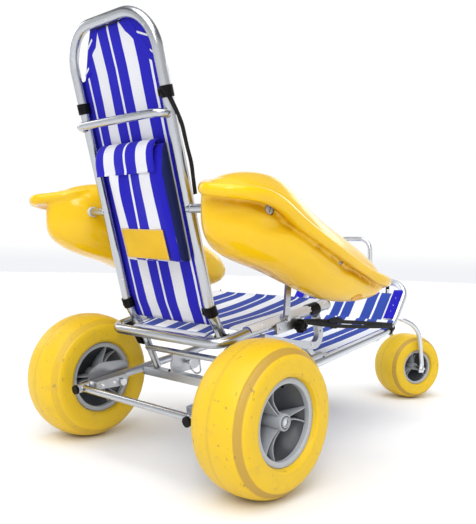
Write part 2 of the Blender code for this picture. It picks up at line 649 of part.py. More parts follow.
def add_armrests():
    for tag, side in (("left", 1), ("right", -1)):
        body = "armrest_" + tag
        pivot(body, point(side * 0.37, *FLOAT_TUBE), "backrest")
        shell = loft_mesh([float_ring(station, side) for station in float_stations()])
        piece = add_piece("float_" + tag, shell, "yellow_float", body, 50.0)
        bore = [point(side * 0.20, *FLOAT_TUBE), point(side * 0.56, *FLOAT_TUBE)]
        boolean(piece, cylinder_mesh(*bore, FLOAT_TUBE_R + 2 * GAP, TUBE_SIDES))
        pin_hole = [point(side * 0.26, *FLOAT_PIN), point(side * 0.56, *FLOAT_PIN)]
        boolean(piece, cylinder_mesh(*pin_hole, SLEEVE_R + 2 * GAP, TUBE_SIDES))
        pin = cylinder_mesh(point(side * 0.262, *FLOAT_PIN), point(side * 0.470, *FLOAT_PIN), PIN_R)
        pin = add_piece("float_pin_" + tag, pin, "aluminium", body)
        start = STRUT_X + STRUT_THICK / 2 + 3 * GAP
        sleeve = cylinder_mesh(point(side * start, *FLOAT_PIN), point(side * 0.474, *FLOAT_PIN), SLEEVE_R, TUBE_SIDES)
        boolean(pin, sleeve, "UNION")
        add_strut(tag, side)


def add_strut(tag, side):
    """The strut swings on the seat rail's bracket and carries the float's front end."""
    body = "strut_" + tag
    pivot(body, point(side * STRUT_X, *STRUT_FOOT), "chassis")
    low, high = sorted((side * (STRUT_X - STRUT_THICK / 2), side * (STRUT_X + STRUT_THICK / 2)))
    bar = add_piece(body, plate_mesh(stadium(STRUT_FOOT, FLOAT_PIN, STRUT_WIDE / 2), low, high), "aluminium", body)
    boolean(bar, plate_mesh(disc_outline(FLOAT_PIN, EYE_R), side * 0.26, side * 0.30))
    boolean(bar, plate_mesh(disc_outline(STRUT_FOOT, PIN_R + 2 * GAP), side * 0.26, side * 0.30))
    face = SEAT_X + SEAT_R + 2 * GAP
    low, high = sorted((side * (face - 0.004), side * (STRUT_X - STRUT_THICK / 2 - 2 * GAP)))
    bracket = plate_mesh(along([(0.205, 0.4165), (0.318, 0.4347)], 0.0165), low, high)
    bracket = add_piece("strut_bracket_" + tag, bracket, "aluminium")
    ear = plate_mesh(stadium((STRUT_FOOT[0], 0.4300), STRUT_FOOT, STRUT_WIDE / 2), low, high)
    boolean(bracket, ear, "UNION")
    seat = [point(side * SEAT_X, *SEAT_MID), point(side * SEAT_X, *SEAT_FRONT)]
    boolean(bracket, tube_mesh(seat, SEAT_R + 2 * GAP))
    bolt_end = STRUT_X + STRUT_THICK / 2 + 0.008
    bolt = cylinder_mesh(point(side * (face + 0.003), *STRUT_FOOT), point(side * bolt_end, *STRUT_FOOT), PIN_R)
    boolean(bracket, bolt, "UNION")
    head_start = STRUT_X + STRUT_THICK / 2 + 2 * GAP
    head = cylinder_mesh(point(side * head_start, *STRUT_FOOT), point(side * bolt_end, *STRUT_FOOT), 0.0085)
    boolean(bracket, head, "UNION")
    add_knob(tag, side)


def add_knob(tag, side):
    """A lobed clamping knob on the strut's bracket."""
    centre = (0.302, 0.4235)
    start = STRUT_X - STRUT_THICK / 2 + GAP
    pivot("knob_" + tag, point(side * start, *centre), "chassis")
    lobes = [
        (centre[0] + (0.0195 + 0.0028 * cos(7 * turn)) * cos(turn),
         centre[1] + (0.0195 + 0.0028 * cos(7 * turn)) * sin(turn))
        for turn in (2 * pi * i / 28 for i in range(28))
    ]  # fmt: skip
    low, high = sorted((side * (start + 0.007), side * (start + 0.024)))
    knob = add_piece("knob_" + tag, plate_mesh(lobes, low, high), "black_plastic", "knob_" + tag, 60.0)
    boolean(knob, cylinder_mesh(point(side * start, *centre), point(side * (start + 0.012), *centre), 0.010), "UNION")


# Fabric


def panel_mesh(path, half_width, half_thick):
    return plate_mesh(along(path, half_thick), -half_width, half_width)


def add_fabric():
    half = BACK_X - BACK_R - 0.004
    face = 0.004
    low, high = back_spot(0.500), back_spot(1.266)
    back = panel_mesh([(0.010, 0.438), low, high], half, face)
    back = add_piece("back_panel", back, "fabric", "backrest")
    for side in (1, -1):
        corner = [point(side * 0.30, *back_spot(1.100)), point(side * 0.30, *back_spot(1.30)),
                  point(side * 0.076, *back_spot(1.30)), point(side * 0.174, *back_spot(1.100))]  # fmt: skip
        thick = Vector((0, 0.05, 0))
        boolean(back, loft_mesh([[spot - thick for spot in corner], [spot + thick for spot in corner]]))
    pouch = []
    for z, proud in ((0.945, 0.014), (0.905, 0.040), (0.760, 0.052), (0.640, 0.050), (0.612, 0.040)):
        ahead, _ = back_spot(z)
        pouch.append((ahead, z, proud))
    skin = face + 0.0015
    outline = [(ahead - skin, z) for ahead, z, _ in pouch]
    outline += [(ahead - skin - proud, z) for ahead, z, proud in reversed(pouch)]
    pocket = add_piece("back_pocket", plate_mesh(outline, -0.158, 0.092), "fabric", "backrest")
    flap = [(back_spot(z)[0] - skin - proud, z) for z, proud in
            ((0.949, 0.0090), (0.940, 0.0200), (0.905, 0.0415), (0.858, 0.0460))]  # fmt: skip
    boolean(pocket, plate_mesh(along(flap, 0.002), -0.152, 0.125), "UNION")

    seat = [(0.012, SEAT_REAR[1] + 0.007), seat_spot(0.110), seat_spot(SEAT_FRONT[0] - 0.036)]
    seat = add_piece("seat_panel", panel_mesh(seat, SEAT_X - SEAT_R - 0.007, 0.0045), "fabric")
    for low, high in ((-0.30, -0.160), (0.160, 0.30)):
        boolean(seat, box_mesh(point(low, 0.122, 0.30), point(high, -0.05, 0.50)))
    leg = bent([(0.475, 0.3000), (0.925, 0.3668), (1.0190, 0.4900)], [0.15])
    leg = along(leg, 0.0040)
    add_piece("leg_panel", plate_mesh(leg, -(RAIL_FRONT_X - RAIL_R - 0.006), RAIL_FRONT_X - RAIL_R - 0.006), "fabric")


def add_leg_strap():
    """A webbing strap from the right seat bracket to a clamp on the right rail, ahead of the footrest's bend."""
    x = -(SEAT_X + 0.0255)
    ring = tube_mesh([point(-RAIL_FRONT_X, 0.9020, 0.3600), point(-RAIL_FRONT_X, 0.9250, 0.3750)], RAIL_R + 0.005)
    clamp = add_piece("strap_clamp", ring, "black_plastic")
    rear, knee, _, splice = rail_route(-1)
    boolean(clamp, tube_mesh(rounded([rear, knee, splice], [KNEE_BEND]), RAIL_R + 2 * GAP))
    path = bent([(0.3440, 0.4330), (0.420, 0.4260), (0.905, 0.3820)], [0.5])
    strap = plate_mesh(along(path, 0.0110), x - 0.0015, x + 0.0015)
    add_piece("leg_strap", strap, "webbing")


def main():
    clear_scene()
    pivot("chassis", Vector())
    add_chassis_frame()
    add_seat_stays()
    add_axles()
    add_seat_frame()
    add_hooks()
    add_recline_lock()
    add_rear_wheels()
    add_caster()
    add_front_end()
    add_backrest()
    add_armrests()
    add_fabric()
    add_leg_strap()


main()
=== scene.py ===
"""Looks of the floating beach cart: a striped lounge seat on an aluminium tube frame with yellow balloon wheels.

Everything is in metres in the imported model's frame: +Z up, the cart faces -Y, and +X is the user's left. Most
places are given by point(x, ahead, z): sideways from the middle, forward of the rear axle, and up from the ground.
"""

import json
from math import acos, ceil, cos, exp, hypot, pi, radians, sin, tan

import bmesh
import bpy
from mathutils import Matrix, Vector, noise
from mathutils.bvhtree import BVHTree


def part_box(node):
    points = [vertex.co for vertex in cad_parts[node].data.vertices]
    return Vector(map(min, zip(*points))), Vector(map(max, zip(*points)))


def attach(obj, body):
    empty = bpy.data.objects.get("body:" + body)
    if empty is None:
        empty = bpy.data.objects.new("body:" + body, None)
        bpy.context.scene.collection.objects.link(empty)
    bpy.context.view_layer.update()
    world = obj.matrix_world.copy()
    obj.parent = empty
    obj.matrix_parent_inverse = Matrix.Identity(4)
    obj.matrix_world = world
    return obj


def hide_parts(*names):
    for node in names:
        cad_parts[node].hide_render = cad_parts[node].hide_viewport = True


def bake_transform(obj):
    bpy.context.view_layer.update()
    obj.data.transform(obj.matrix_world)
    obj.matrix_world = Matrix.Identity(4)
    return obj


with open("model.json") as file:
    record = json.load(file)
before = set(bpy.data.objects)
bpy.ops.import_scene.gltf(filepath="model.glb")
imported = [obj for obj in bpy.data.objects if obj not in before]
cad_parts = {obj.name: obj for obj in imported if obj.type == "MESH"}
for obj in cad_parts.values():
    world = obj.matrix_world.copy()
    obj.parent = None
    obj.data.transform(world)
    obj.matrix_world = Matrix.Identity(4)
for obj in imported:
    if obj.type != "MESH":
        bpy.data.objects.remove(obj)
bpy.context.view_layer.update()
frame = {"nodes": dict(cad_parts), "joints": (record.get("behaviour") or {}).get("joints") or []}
JOINTS = {joint["name"]: joint for joint in frame["joints"]}

# Places that the frame gives
AXLE_Y = JOINTS["wheel_left_spin"]["pos_m"][1]
LEFT, RIGHT = 1, -1
SIDES = (("left", LEFT), ("right", RIGHT))

# The tubes' driving dimensions, in (ahead, z) places
RAIL_X, RAIL_FRONT_X, RAIL_R = 0.260, 0.250, 0.014
RAIL_REAR, RAIL_KNEE, RAIL_TOE = (-0.140, 0.195), (0.925, 0.361), (1.052, 0.537)
RAIL_SPLICE = 1.0000
KNEE_BEND, TOE_BEND = 0.150, 0.075
REAR_CROSS, REAR_CROSS_R = (-0.122, 0.1978), 0.0110
UPPER_CROSS, UPPER_CROSS_R = (0.080, 0.322), 0.0095
FRONT_CROSS, FRONT_CROSS_R = (0.860, 0.333), 0.0125
STAY_TOP, STAY_FOOT, STAY_R = (0.079, 0.358), (0.1395, 0.2425), 0.0125
SEAT_X, SEAT_R, SEAT_BEND = 0.250, 0.016, 0.050
SEAT_REAR, SEAT_MID, SEAT_FRONT = (-0.013, 0.386), (0.110, 0.414), (0.500, 0.479)
BACK_X, BACK_R = 0.190, 0.0155
HINGE, BACK_KNEE, BACK_TOP = (0.055, 0.395), (0.001, 0.478), (-0.250, 1.289)
BACK_BEND, KNEE_ARC = 0.115, 0.16
HANDLE_X, HANDLE_R, HANDLE_Z, HANDLE_AHEAD = 0.200, 0.0120, 1.0140, -0.207
PULL_X, PULL_R, PULL_FOOT, PULL_TOP = 0.078, 0.0095, (1.052, 0.5372), (1.040, 0.711)
STEM_AHEAD, CROWN_Z = 1.330, 0.372
FLOAT_TUBE, FLOAT_TUBE_R, FLOAT_STUB_X = (-0.094, 0.765), 0.0125, 0.430
FLOAT_PLUGS = (((-0.060, 0.7595), 0.0150), ((0.264, 0.6300), 0.0122))
FLOAT_PIN, PIN_R, SLEEVE_R = (0.252, 0.630), 0.0045, 0.0090
STRUT_X = 0.279
KNOB = (0.302, 0.4235)
CASTER_YAW = radians(22.5)
FRONT_WIDTH = 0.162

# The cloth's stripes: a thin white line, a blue band, a wide white band and a blue band, over and over
STRIPE_PERIOD, STRIPE_THIN, STRIPE_BLUE, STRIPE_SOFT = 0.145, 0.0045, 0.0480, 0.0005
STRIPE_SHIFT = 0.006
CLOTH_THICK = 0.0012

UP = Vector((0, 0, 1))
TINY = 0.0004  # the radius that closes a turned profile at its axis
SHARP, CLOTH_SHARP = 35.0, 80.0  # degrees above which an edge is shaded sharp


def point(x, ahead, z):
    return Vector((x, AXLE_Y - ahead, z))


def turns(count):
    """Equal turns round a circle."""
    return [2 * pi * k / count for k in range(count)]


def hump(value, middle, wide):
    """1 at the middle, falling smoothly to 0 on both sides."""
    return exp(-(((value - middle) / wide) ** 2))


def past(value, place, soft):
    """0 before the place and 1 after it, changing over a few times the soft length."""
    return 1 / (1 + exp(-(value - place) / soft))


def on_line(low, high, ahead):
    """The (ahead, z) place at this distance ahead on the line through two others."""
    share = (ahead - low[0]) / (high[0] - low[0])
    return ahead, low[1] + share * (high[1] - low[1])


def placed(name, data):
    made = bpy.data.objects.new(name, data)
    bpy.context.collection.objects.link(made)
    return made


# Camera, light and floor


def add_camera():
    """A portrait view from behind the cart's right side, a little over half a metre up."""
    heading, tilt, roll = radians(223.5225), radians(0.8334), radians(1.4243)
    back = Vector((sin(heading) * cos(tilt), -cos(heading) * cos(tilt), sin(tilt)))
    level_right = UP.cross(back).normalized()
    level_up = back.cross(level_right)
    right = level_right * cos(roll) + level_up * sin(roll)
    up = level_up * cos(roll) - level_right * sin(roll)
    lens = bpy.data.cameras.new("camera")
    lens.lens, lens.sensor_width = 45.62, 36.0
    lens.shift_x, lens.shift_y = 0.0225, -0.0064
    camera = placed("camera", lens)
    turn = Matrix((right, up, back)).transposed()
    camera.matrix_world = Matrix.Translation((-1.5378, 1.355 + AXLE_Y, 0.6559)) @ turn.to_4x4()
    bpy.context.scene.camera = camera


def add_light(name, place, aim, size, power):
    lamp = bpy.data.lights.new(name, "AREA")
    lamp.shape = "RECTANGLE"
    lamp.size, lamp.size_y = size
    lamp.energy = power
    holder = placed(name, lamp)
    holder.location = place
    holder.rotation_euler = (Vector(aim) - Vector(place)).to_track_quat("-Z", "Y").to_euler()


def add_studio():
    """A pale floor, a world that is pale at the horizon and dimmer above, and soft lights all round."""
    bpy.ops.mesh.primitive_circle_add(vertices=96, radius=14.0, fill_type="NGON")
    floor = bpy.context.active_object
    floor.name = "floor"
    paint = new_paint("floor_paint")
    paint.set(Base_Color=paint.mix(paint.noise(6.0, 2.0), (0.86, 0.86, 0.86), (0.88, 0.88, 0.885)), Roughness=0.7)
    floor.data.materials.append(paint.owner)

    bpy.context.scene.view_settings.view_transform = "Standard"
    world = bpy.data.worlds.new("studio")
    bpy.context.scene.world = world
    sky = Graph(world, "Background", "Generated")
    height = sky.linear(sky.node("SeparateXYZ", {0: sky.place}).outputs["Z"], 0.5, 0.5)
    ramp = sky.node("ValToRGB", {0: height})
    facing = sky.node("VectorMath", {0: sky.place, 1: (0.69, -0.725, 0.0)}, operation="DOT_PRODUCT")
    inputs = {"Value": facing.outputs["Value"], "From Min": -0.2, "From Max": 0.7, "To Min": 0.72, "To Max": 1.0}
    sky.set(Color=ramp.outputs[0], Strength=sky.node("MapRange", inputs).outputs[0])
    shades = ((0.0, 0.8), (0.49, 0.9), (0.50, 1.0), (0.685, 1.0), (0.74, 0.30), (0.86, 0.24), (0.94, 0.7), (1.0, 0.9))
    stops = ramp.color_ramp.elements
    while len(stops) < len(shades):
        stops.new(0.5)
    for stop, (at, grey) in zip(stops, shades):
        stop.position = at
        stop.color = (grey, grey * 1.01, min(1.0, grey * 1.04), 1)

    lamp = bpy.data.lights.new("overhead", "SUN")
    lamp.energy = 2.7
    lamp.angle = radians(70)
    placed("overhead", lamp).rotation_euler = (radians(-24), radians(-16), 0)
    add_light("key_light", (-2.4, 3.4, 2.6), (0, 0.2, 0.5), (0.8, 2.0), 34)
    add_light("fill_light", (3.4, 1.5, 2.4), (0, 0.1, 0.5), (1.0, 2.0), 18)
    add_light("front_light", (0.8, -4.2, 2.6), (0, -0.2, 0.5), (2.4, 1.4), 20)


# Materials


class Graph:
    """A short way to write the nodes of a material or of the world."""

    def __init__(self, owner, shader="Principled BSDF", place="Object"):
        owner.use_nodes = True
        self.owner = owner
        self.tree = owner.node_tree
        self.shader = self.tree.nodes[shader]
        self.place = self.tree.nodes.new("ShaderNodeTexCoord").outputs[place]

    def put(self, socket, value):
        if isinstance(value, bpy.types.NodeSocket):
            self.tree.links.new(value, socket)
        else:
            socket.default_value = value

    def node(self, kind, inputs, **settings):
        made = self.tree.nodes.new("ShaderNode" + kind)
        for key, value in settings.items():
            setattr(made, key, value)
        for key, value in inputs.items():
            self.put(made.inputs[key], value)
        return made

    def set(self, **inputs):
        """Sets the shader's inputs, named with _ for a space."""
        for key, value in inputs.items():
            self.put(self.shader.inputs[key.replace("_", " ")], value)

    def maths(self, operation, first, second=0.0, third=0.0):
        return self.node("Math", {0: first, 1: second, 2: third}, operation=operation).outputs[0]

    def times(self, first, second):
        return self.maths("MULTIPLY", first, second)

    def linear(self, value, size, base):
        return self.maths("MULTIPLY_ADD", value, size, base)

    def wave(self, name, turns_per_metre):
        """A sine along one of the cloth's own lengths."""
        return self.maths("SINE", self.times(self.value(name), turns_per_metre))

    def between(self, value, low, high, first=0.0, last=1.0):
        """The value's place between low and high, smoothed, as a number from first to last."""
        inputs = {"Value": value, "From Min": low, "From Max": high, "To Min": first, "To Max": last}
        return self.node("MapRange", inputs, interpolation_type="SMOOTHSTEP").outputs[0]

    def mix(self, share, first, second):
        made = self.node("Mix", {0: share}, data_type="RGBA")
        for socket, value in ((made.inputs[6], first), (made.inputs[7], second)):
            self.put(socket, (*value, 1) if isinstance(value, tuple) else value)
        return made.outputs[2]

    def stained(self, tint, where, share, colour):
        """The tint with a share of the colour where the value is high."""
        return self.mix(self.times(where, share), tint, colour)

    def shade_painted_in_corners(self, tint, distance, low, high, least):
        """The tint, darker in corners: painted shade from an ambient occlusion mask."""
        corner_shade = self.between(self.cavity(distance), low, high, least, 1.0)
        return self.node("VectorMath", {0: tint, 1: corner_shade}, operation="MULTIPLY").outputs[0]

    def noise(self, scale, detail=3.0, rough=0.5, stretch=None):
        place = self.place
        if stretch:
            place = self.node("Mapping", {"Vector": place, "Scale": stretch}).outputs[0]
        inputs = {"Vector": place, "Scale": scale, "Detail": detail, "Roughness": rough}
        return self.node("TexNoise", inputs).outputs[0]

    def value(self, name):
        return self.node("Attribute", {}, attribute_name=name).outputs["Fac"]

    def cavity(self, distance):
        """1 on open faces and less in corners."""
        return self.node("AmbientOcclusion", {"Distance": distance}, samples=8).outputs["AO"]

    def painted(self, tint, rough, height, strength, distance, **inputs):
        """The finished material, with a bump of the given height."""
        self.set(Base_Color=tint, Roughness=rough, **inputs)
        bump = self.node("Bump", {"Height": height, "Strength": strength, "Distance": distance})
        self.set(Normal=bump.outputs[0])
        return self.owner


def new_paint(name):
    return Graph(bpy.data.materials.new(name))


def scaled(colour, size):
    return tuple(part * size for part in colour)


def satin_aluminium(name="satin_aluminium", tone=0.52, rough=0.24):
    """Anodised tube: fine drawn lines, faint smudges, small bright scratches and painted shade in its corners."""
    paint = new_paint(name)
    smudge = paint.noise(9.0, 4.0, 0.6)
    grain = paint.noise(650.0, 2.0, 0.6)
    scratch = paint.between(paint.noise(70.0, 3.0, 0.7, (1.0, 0.12, 1.0)), 0.66, 0.72)
    tint = paint.mix(smudge, (tone * 0.90, tone * 0.95, tone * 1.03), (tone, tone * 1.02, tone * 1.06))
    # painted shade: the tint darkens to 72% where ambient occlusion finds corners
    tint = paint.shade_painted_in_corners(paint.stained(tint, scratch, 0.35, (0.93, 0.94, 0.95)), 0.012, 0.35, 0.9, 0.72)
    height = paint.linear(scratch, -0.5, grain)
    return paint.painted(tint, paint.linear(smudge, 0.16, rough - 0.08), height, 0.10, 0.00025, Metallic=1.0)


def bright_steel():
    paint = new_paint("bright_steel")
    stain = paint.between(paint.noise(60.0, 4.0, 0.6), 0.52, 0.75)
    tint = paint.stained((0.66, 0.66, 0.68), stain, 0.5, (0.42, 0.38, 0.34))
    return paint.painted(tint, paint.linear(stain, 0.2, 0.2), paint.noise(400.0), 0.08, 0.0003, Metallic=1.0)


def tyre_rubber():
    """Yellow rubber, ochre in the shoulder groove, with scuffs and specks. The tint value marks the groove."""
    paint = new_paint("tyre_rubber")
    cloud = paint.noise(7.0, 4.0, 0.6)
    fine = paint.noise(160.0, 3.0, 0.6)
    dusty = paint.between(paint.noise(22.0, 5.0, 0.65), 0.50, 0.78)
    speck = paint.between(paint.noise(95.0, 2.0, 0.5, (1.0, 1.0, 0.45)), 0.680, 0.715)
    tint = paint.mix(cloud, (0.70, 0.445, 0.013), (0.77, 0.515, 0.022))
    tint = paint.stained(tint, dusty, 0.55, (0.60, 0.39, 0.055))
    tint = paint.stained(tint, paint.value("tint"), 0.88, (0.44, 0.27, 0.050))
    tint = paint.stained(tint, speck, 0.7, (0.30, 0.20, 0.06))
    height = paint.linear(speck, -1.5, paint.linear(fine, 0.5, cloud))
    return paint.painted(tint, paint.linear(dusty, 0.2, 0.40), height, 0.30, 0.0012, Subsurface_Weight=0.06,
                         Specular_IOR_Level=0.28, Subsurface_Radius=(0.02, 0.01, 0.003))


def float_plastic():
    """Glossy rotomoulded plastic: deep yellow, a slight orange peel, cloudy wall thickness and darker orange painted as
    shade in its hollows.
    """
    paint = new_paint("float_plastic")
    tint = paint.mix(paint.noise(5.0, 3.0, 0.5), (0.78, 0.46, 0.004), (0.86, 0.56, 0.008))
    # painted shade: darker orange where ambient occlusion finds hollows, under the lip and round the plugs
    deep = paint.between(paint.cavity(0.12), 0.30, 0.98, 1.0, 0.0)
    tint = paint.stained(tint, deep, 0.90, (0.56, 0.27, 0.004))
    scuff = paint.between(paint.noise(38.0, 5.0, 0.7, (1.0, 0.25, 1.0)), 0.60, 0.70)
    peel = paint.linear(paint.noise(210.0, 2.0), 0.12, paint.noise(26.0, 2.0))
    return paint.painted(tint, paint.linear(scuff, 0.16, 0.13), peel, 0.22, 0.0016, Specular_IOR_Level=0.38,
                         Subsurface_Weight=0.10, Subsurface_Radius=(0.03, 0.012, 0.002))


def moulded(name, colour, rough, shine=0.5):
    """Moulded plastic with a fine grain, a paler worn tone where it is rubbed, and painted shade in its corners."""
    paint = new_paint(name)
    rub = paint.between(paint.noise(45.0, 4.0, 0.6), 0.55, 0.8)
    pale = tuple(min(1.0, part * 1.5 + 0.006) for part in colour)
    # painted shade: the tint darkens to 55% where ambient occlusion finds corners
    tint = paint.shade_painted_in_corners(paint.stained(colour, rub, 0.45, pale), 0.03, 0.3, 0.95, 0.55)
    return paint.painted(tint, paint.linear(rub, 0.15, rough), paint.noise(420.0, 2.0), 0.2, 0.0004,
                         Specular_IOR_Level=shine)


def weave(paint, pitch):
    """A plain weave's height from the cloth's own across and down lengths."""
    around = 2 * pi / pitch
    return paint.linear(paint.times(paint.wave("across", around), paint.wave("down", around)), 0.5, 0.5)


def striped_cloth(name, blue, white):
    """Woven stripes across the cloth, a little uneven along their edges, with creases and faint soiling."""
    paint = new_paint(name)
    thread = weave(paint, 0.0019)
    wander = paint.linear(paint.noise(30.0, 3.0), 0.0022, -0.0011)
    across = paint.maths("ADD", paint.value("across"), wander)
    turn = paint.maths("FRACT", paint.linear(across, 1 / STRIPE_PERIOD, 0.5))
    off = paint.times(paint.maths("ABSOLUTE", paint.maths("SUBTRACT", turn, 0.5)), STRIPE_PERIOD)
    thin = paint.between(off, STRIPE_THIN - STRIPE_SOFT, STRIPE_THIN + STRIPE_SOFT, 1.0, 0.0)
    wide = paint.between(off, STRIPE_BLUE - STRIPE_SOFT, STRIPE_BLUE + STRIPE_SOFT)
    fade = paint.noise(11.0, 4.0, 0.6)
    tones = paint.mix(fade, scaled(blue, 0.80), blue), paint.mix(fade, scaled(white, 0.92), white)
    tint = paint.stained(paint.mix(paint.maths("MAXIMUM", thin, wide), *tones), thread, 0.14, (0.01, 0.01, 0.03))
    height = paint.linear(paint.noise(16.0, 4.0, 0.55), 4.0, thread)
    return paint.painted(tint, 0.72, height, 0.35, 0.0006, Sheen_Weight=0.06, Specular_IOR_Level=0.2)


def plain_cloth(name, colour, pitch=0.0019):
    paint = new_paint(name)
    fade = paint.noise(14.0, 4.0, 0.6)
    thread = weave(paint, pitch)
    tint = paint.stained(paint.mix(fade, scaled(colour, 0.78), colour), thread, 0.18, scaled(colour, 0.4))
    height = paint.linear(fade, 3.0, thread)
    return paint.painted(tint, 0.75, height, 0.4, 0.0006, Sheen_Weight=0.06, Specular_IOR_Level=0.2)


def webbing_cloth():
    """Black nylon webbing: ribs across its width and a slight shine."""
    paint = new_paint("black_webbing")
    rib, twill = paint.wave("down", 2 * pi / 0.0016), paint.wave("across", 2 * pi / 0.0030)
    height = paint.linear(twill, 0.4, rib)
    tone = paint.mix(paint.between(height, -1.4, 1.4), (0.002, 0.002, 0.003), (0.011, 0.011, 0.013))
    return paint.painted(tone, 0.55, height, 0.5, 0.0004, Specular_IOR_Level=0.2)


FINISH = {}


def make_materials():
    FINISH.update(
        aluminium=satin_aluminium(),
        rail=satin_aluminium("rail_aluminium", 0.76, 0.33),
        plate=satin_aluminium("plate_aluminium", 0.58, 0.36),
        steel=bright_steel(),
        tyre=tyre_rubber(),
        float=float_plastic(),
        hub=moulded("hub_plastic", (0.36, 0.38, 0.41), 0.36),
        # painted shade: the bowl's plastic is near black, much darker than the ribs and rim of the same hub
        bowl=moulded("bowl_plastic_painted_dark_as_shade", (0.036, 0.040, 0.047), 0.30),
        rim=moulded("rim_plastic", (0.40, 0.42, 0.45), 0.34),
        black=moulded("black_plastic", (0.005, 0.005, 0.006), 0.34, shine=0.10),
        drain=moulded("drain_plastic", (0.70, 0.36, 0.02), 0.42),
        plug=moulded("plug_plastic", (0.62, 0.62, 0.60), 0.30),
        snap=satin_aluminium("snap_metal", 0.86, 0.20),
        stripes=striped_cloth("striped_cloth", (0.010, 0.006, 0.50), (0.80, 0.81, 0.86)),
        # painted light: a lighter copy of the striped cloth for the seat and leg cloth, which face up to the light
        seat_stripes=striped_cloth("striped_cloth_with_painted_sunlight", (0.026, 0.066, 0.40), (0.86, 0.89, 0.95)),
        blue=plain_cloth("blue_cloth", (0.010, 0.006, 0.50)),
        white_hem=plain_cloth("white_hem_cloth", (0.84, 0.86, 0.92)),
        navy=plain_cloth("navy_cloth", (0.012, 0.022, 0.125)),
        # painted shade: black cloth for the shaded fold of the back cloth under the top bar
        trim=plain_cloth("black_trim_cloth", (0.012, 0.012, 0.020)),
        label=plain_cloth("label_cloth", (0.86, 0.52, 0.020), 0.0010),
        thread=plain_cloth("thread", (0.70, 0.70, 0.66), 0.0010),
        webbing=webbing_cloth(),
    )

# Shapes


def rounded(corners, bends):
    """The corners joined by straight runs, with an arc of the given radius at each inner corner."""
    route = [corners[0]]
    for before, corner, after, bend in zip(corners, corners[1:-1], corners[2:], bends):
        back = (before - corner).normalized()
        on = (after - corner).normalized()
        turn = pi - acos(max(-1.0, min(1.0, back.dot(on))))
        reach = bend * tan(turn / 2)
        centre = corner + (back + on).normalized() * (bend / cos(turn / 2))
        start = corner + back * reach - centre
        spin_axis = start.cross(corner + on * reach - centre)
        pieces = max(2, ceil(turn / radians(7)))
        for i in range(pieces + 1):
            route.append(centre + Matrix.Rotation(turn * i / pieces, 3, spin_axis) @ start)
    return route + [corners[-1]]


def flowing(spots, pieces):
    """A smooth curve through the spots, with the given number of short runs between each two."""
    spots = [Vector(spot) for spot in spots]
    padded = [spots[0] * 2 - spots[1], *spots, spots[-1] * 2 - spots[-2]]
    route = []
    for before, start, end, after in zip(padded, padded[1:], padded[2:], padded[3:]):
        for i in range(pieces):
            t = i / pieces
            pull = (end - before) / 2 * (t - 2 * t**2 + t**3) + (after - start) / 2 * (t**3 - t**2)
            route.append(start * (1 - 3 * t**2 + 2 * t**3) + end * (3 * t**2 - 2 * t**3) + pull)
    return route + [spots[-1]]


def tube_mesh(route, radius, sides=28):
    """A round bar along the route, with rounded-off ends."""
    rows = []
    forward = (route[1] - route[0]).normalized()
    out = forward.orthogonal().normalized()
    last = len(route) - 1
    bevel = radius * 0.12
    for i, spot in enumerate(route):
        ahead = (route[min(i + 1, last)] - route[max(i - 1, 0)]).normalized()
        out = (out - ahead * out.dot(ahead)).normalized()
        over = ahead.cross(out)
        stops = [(0.0, radius)]
        if i == 0:
            stops = [(0.0, radius - bevel), (bevel, radius)]
        elif i == last:
            stops = [(-bevel, radius), (0.0, radius - bevel)]
        for shift, size in stops:
            rows.append([spot + ahead * shift + (out * cos(turn) + over * sin(turn)) * size for turn in turns(sides)])
    return surface(rows, wrap=True, caps=True)


def cross_tube(half, spot, radius, sides=28):
    """A level tube from side to side, or from one x to another."""
    low, high = half if isinstance(half, tuple) else (-half, half)
    return tube_mesh([point(low, *spot), point(high, *spot)], radius, sides)


def surface(rows, wrap=False, caps=False, loop=False, values=None):
    """A mesh from equal rows of points. wrap closes each row, loop joins the last row to the first, and caps
    fills the first and last rows. values holds named numbers for the points, row by row."""
    form = bmesh.new()
    layers = {name: form.verts.layers.float.new(name) for name in (values or {})}
    grid = []
    for j, row in enumerate(rows):
        line = [form.verts.new(spot) for spot in row]
        for name, layer in layers.items():
            for i, vertex in enumerate(line):
                vertex[layer] = values[name][j][i]
        grid.append(line)
    pairs = list(zip(grid, grid[1:])) + ([(grid[-1], grid[0])] if loop else [])
    for low, high in pairs:
        count = len(low)
        for i in range(count if wrap else count - 1):
            j = (i + 1) % count
            form.faces.new((low[i], low[j], high[j], high[i]))
    if caps:
        form.faces.new(grid[0])
        form.faces.new(grid[-1])
    bmesh.ops.recalc_face_normals(form, faces=form.faces)
    return mesh_from(form)


def mesh_from(form):
    mesh = bpy.data.meshes.new("shape")
    form.to_mesh(mesh)
    form.free()
    return mesh


def joined(meshes):
    form = bmesh.new()
    for mesh in meshes:
        form.from_mesh(mesh)
    return mesh_from(form)


def wheel_axes(axis):
    """The axis, and the directions ahead and up that a turned profile starts from."""
    axis, ahead = Vector(axis).normalized(), Vector((0, -1, 0))
    return axis, (ahead - axis * ahead.dot(axis)).normalized(), UP


def turned_mesh(profile, centre, axis, segments, values=None):
    """A closed (offset along the axis, radius) profile spun round the axis through centre."""
    axis, ahead, up = wheel_axes(axis)
    rows = []
    for turn in turns(segments):
        out = ahead * cos(turn) + up * sin(turn)
        rows.append([centre + axis * offset + out * radius for offset, radius in profile])
    spread = {name: [line] * segments for name, line in (values or {}).items()}
    return surface(rows, wrap=True, loop=True, values=spread)


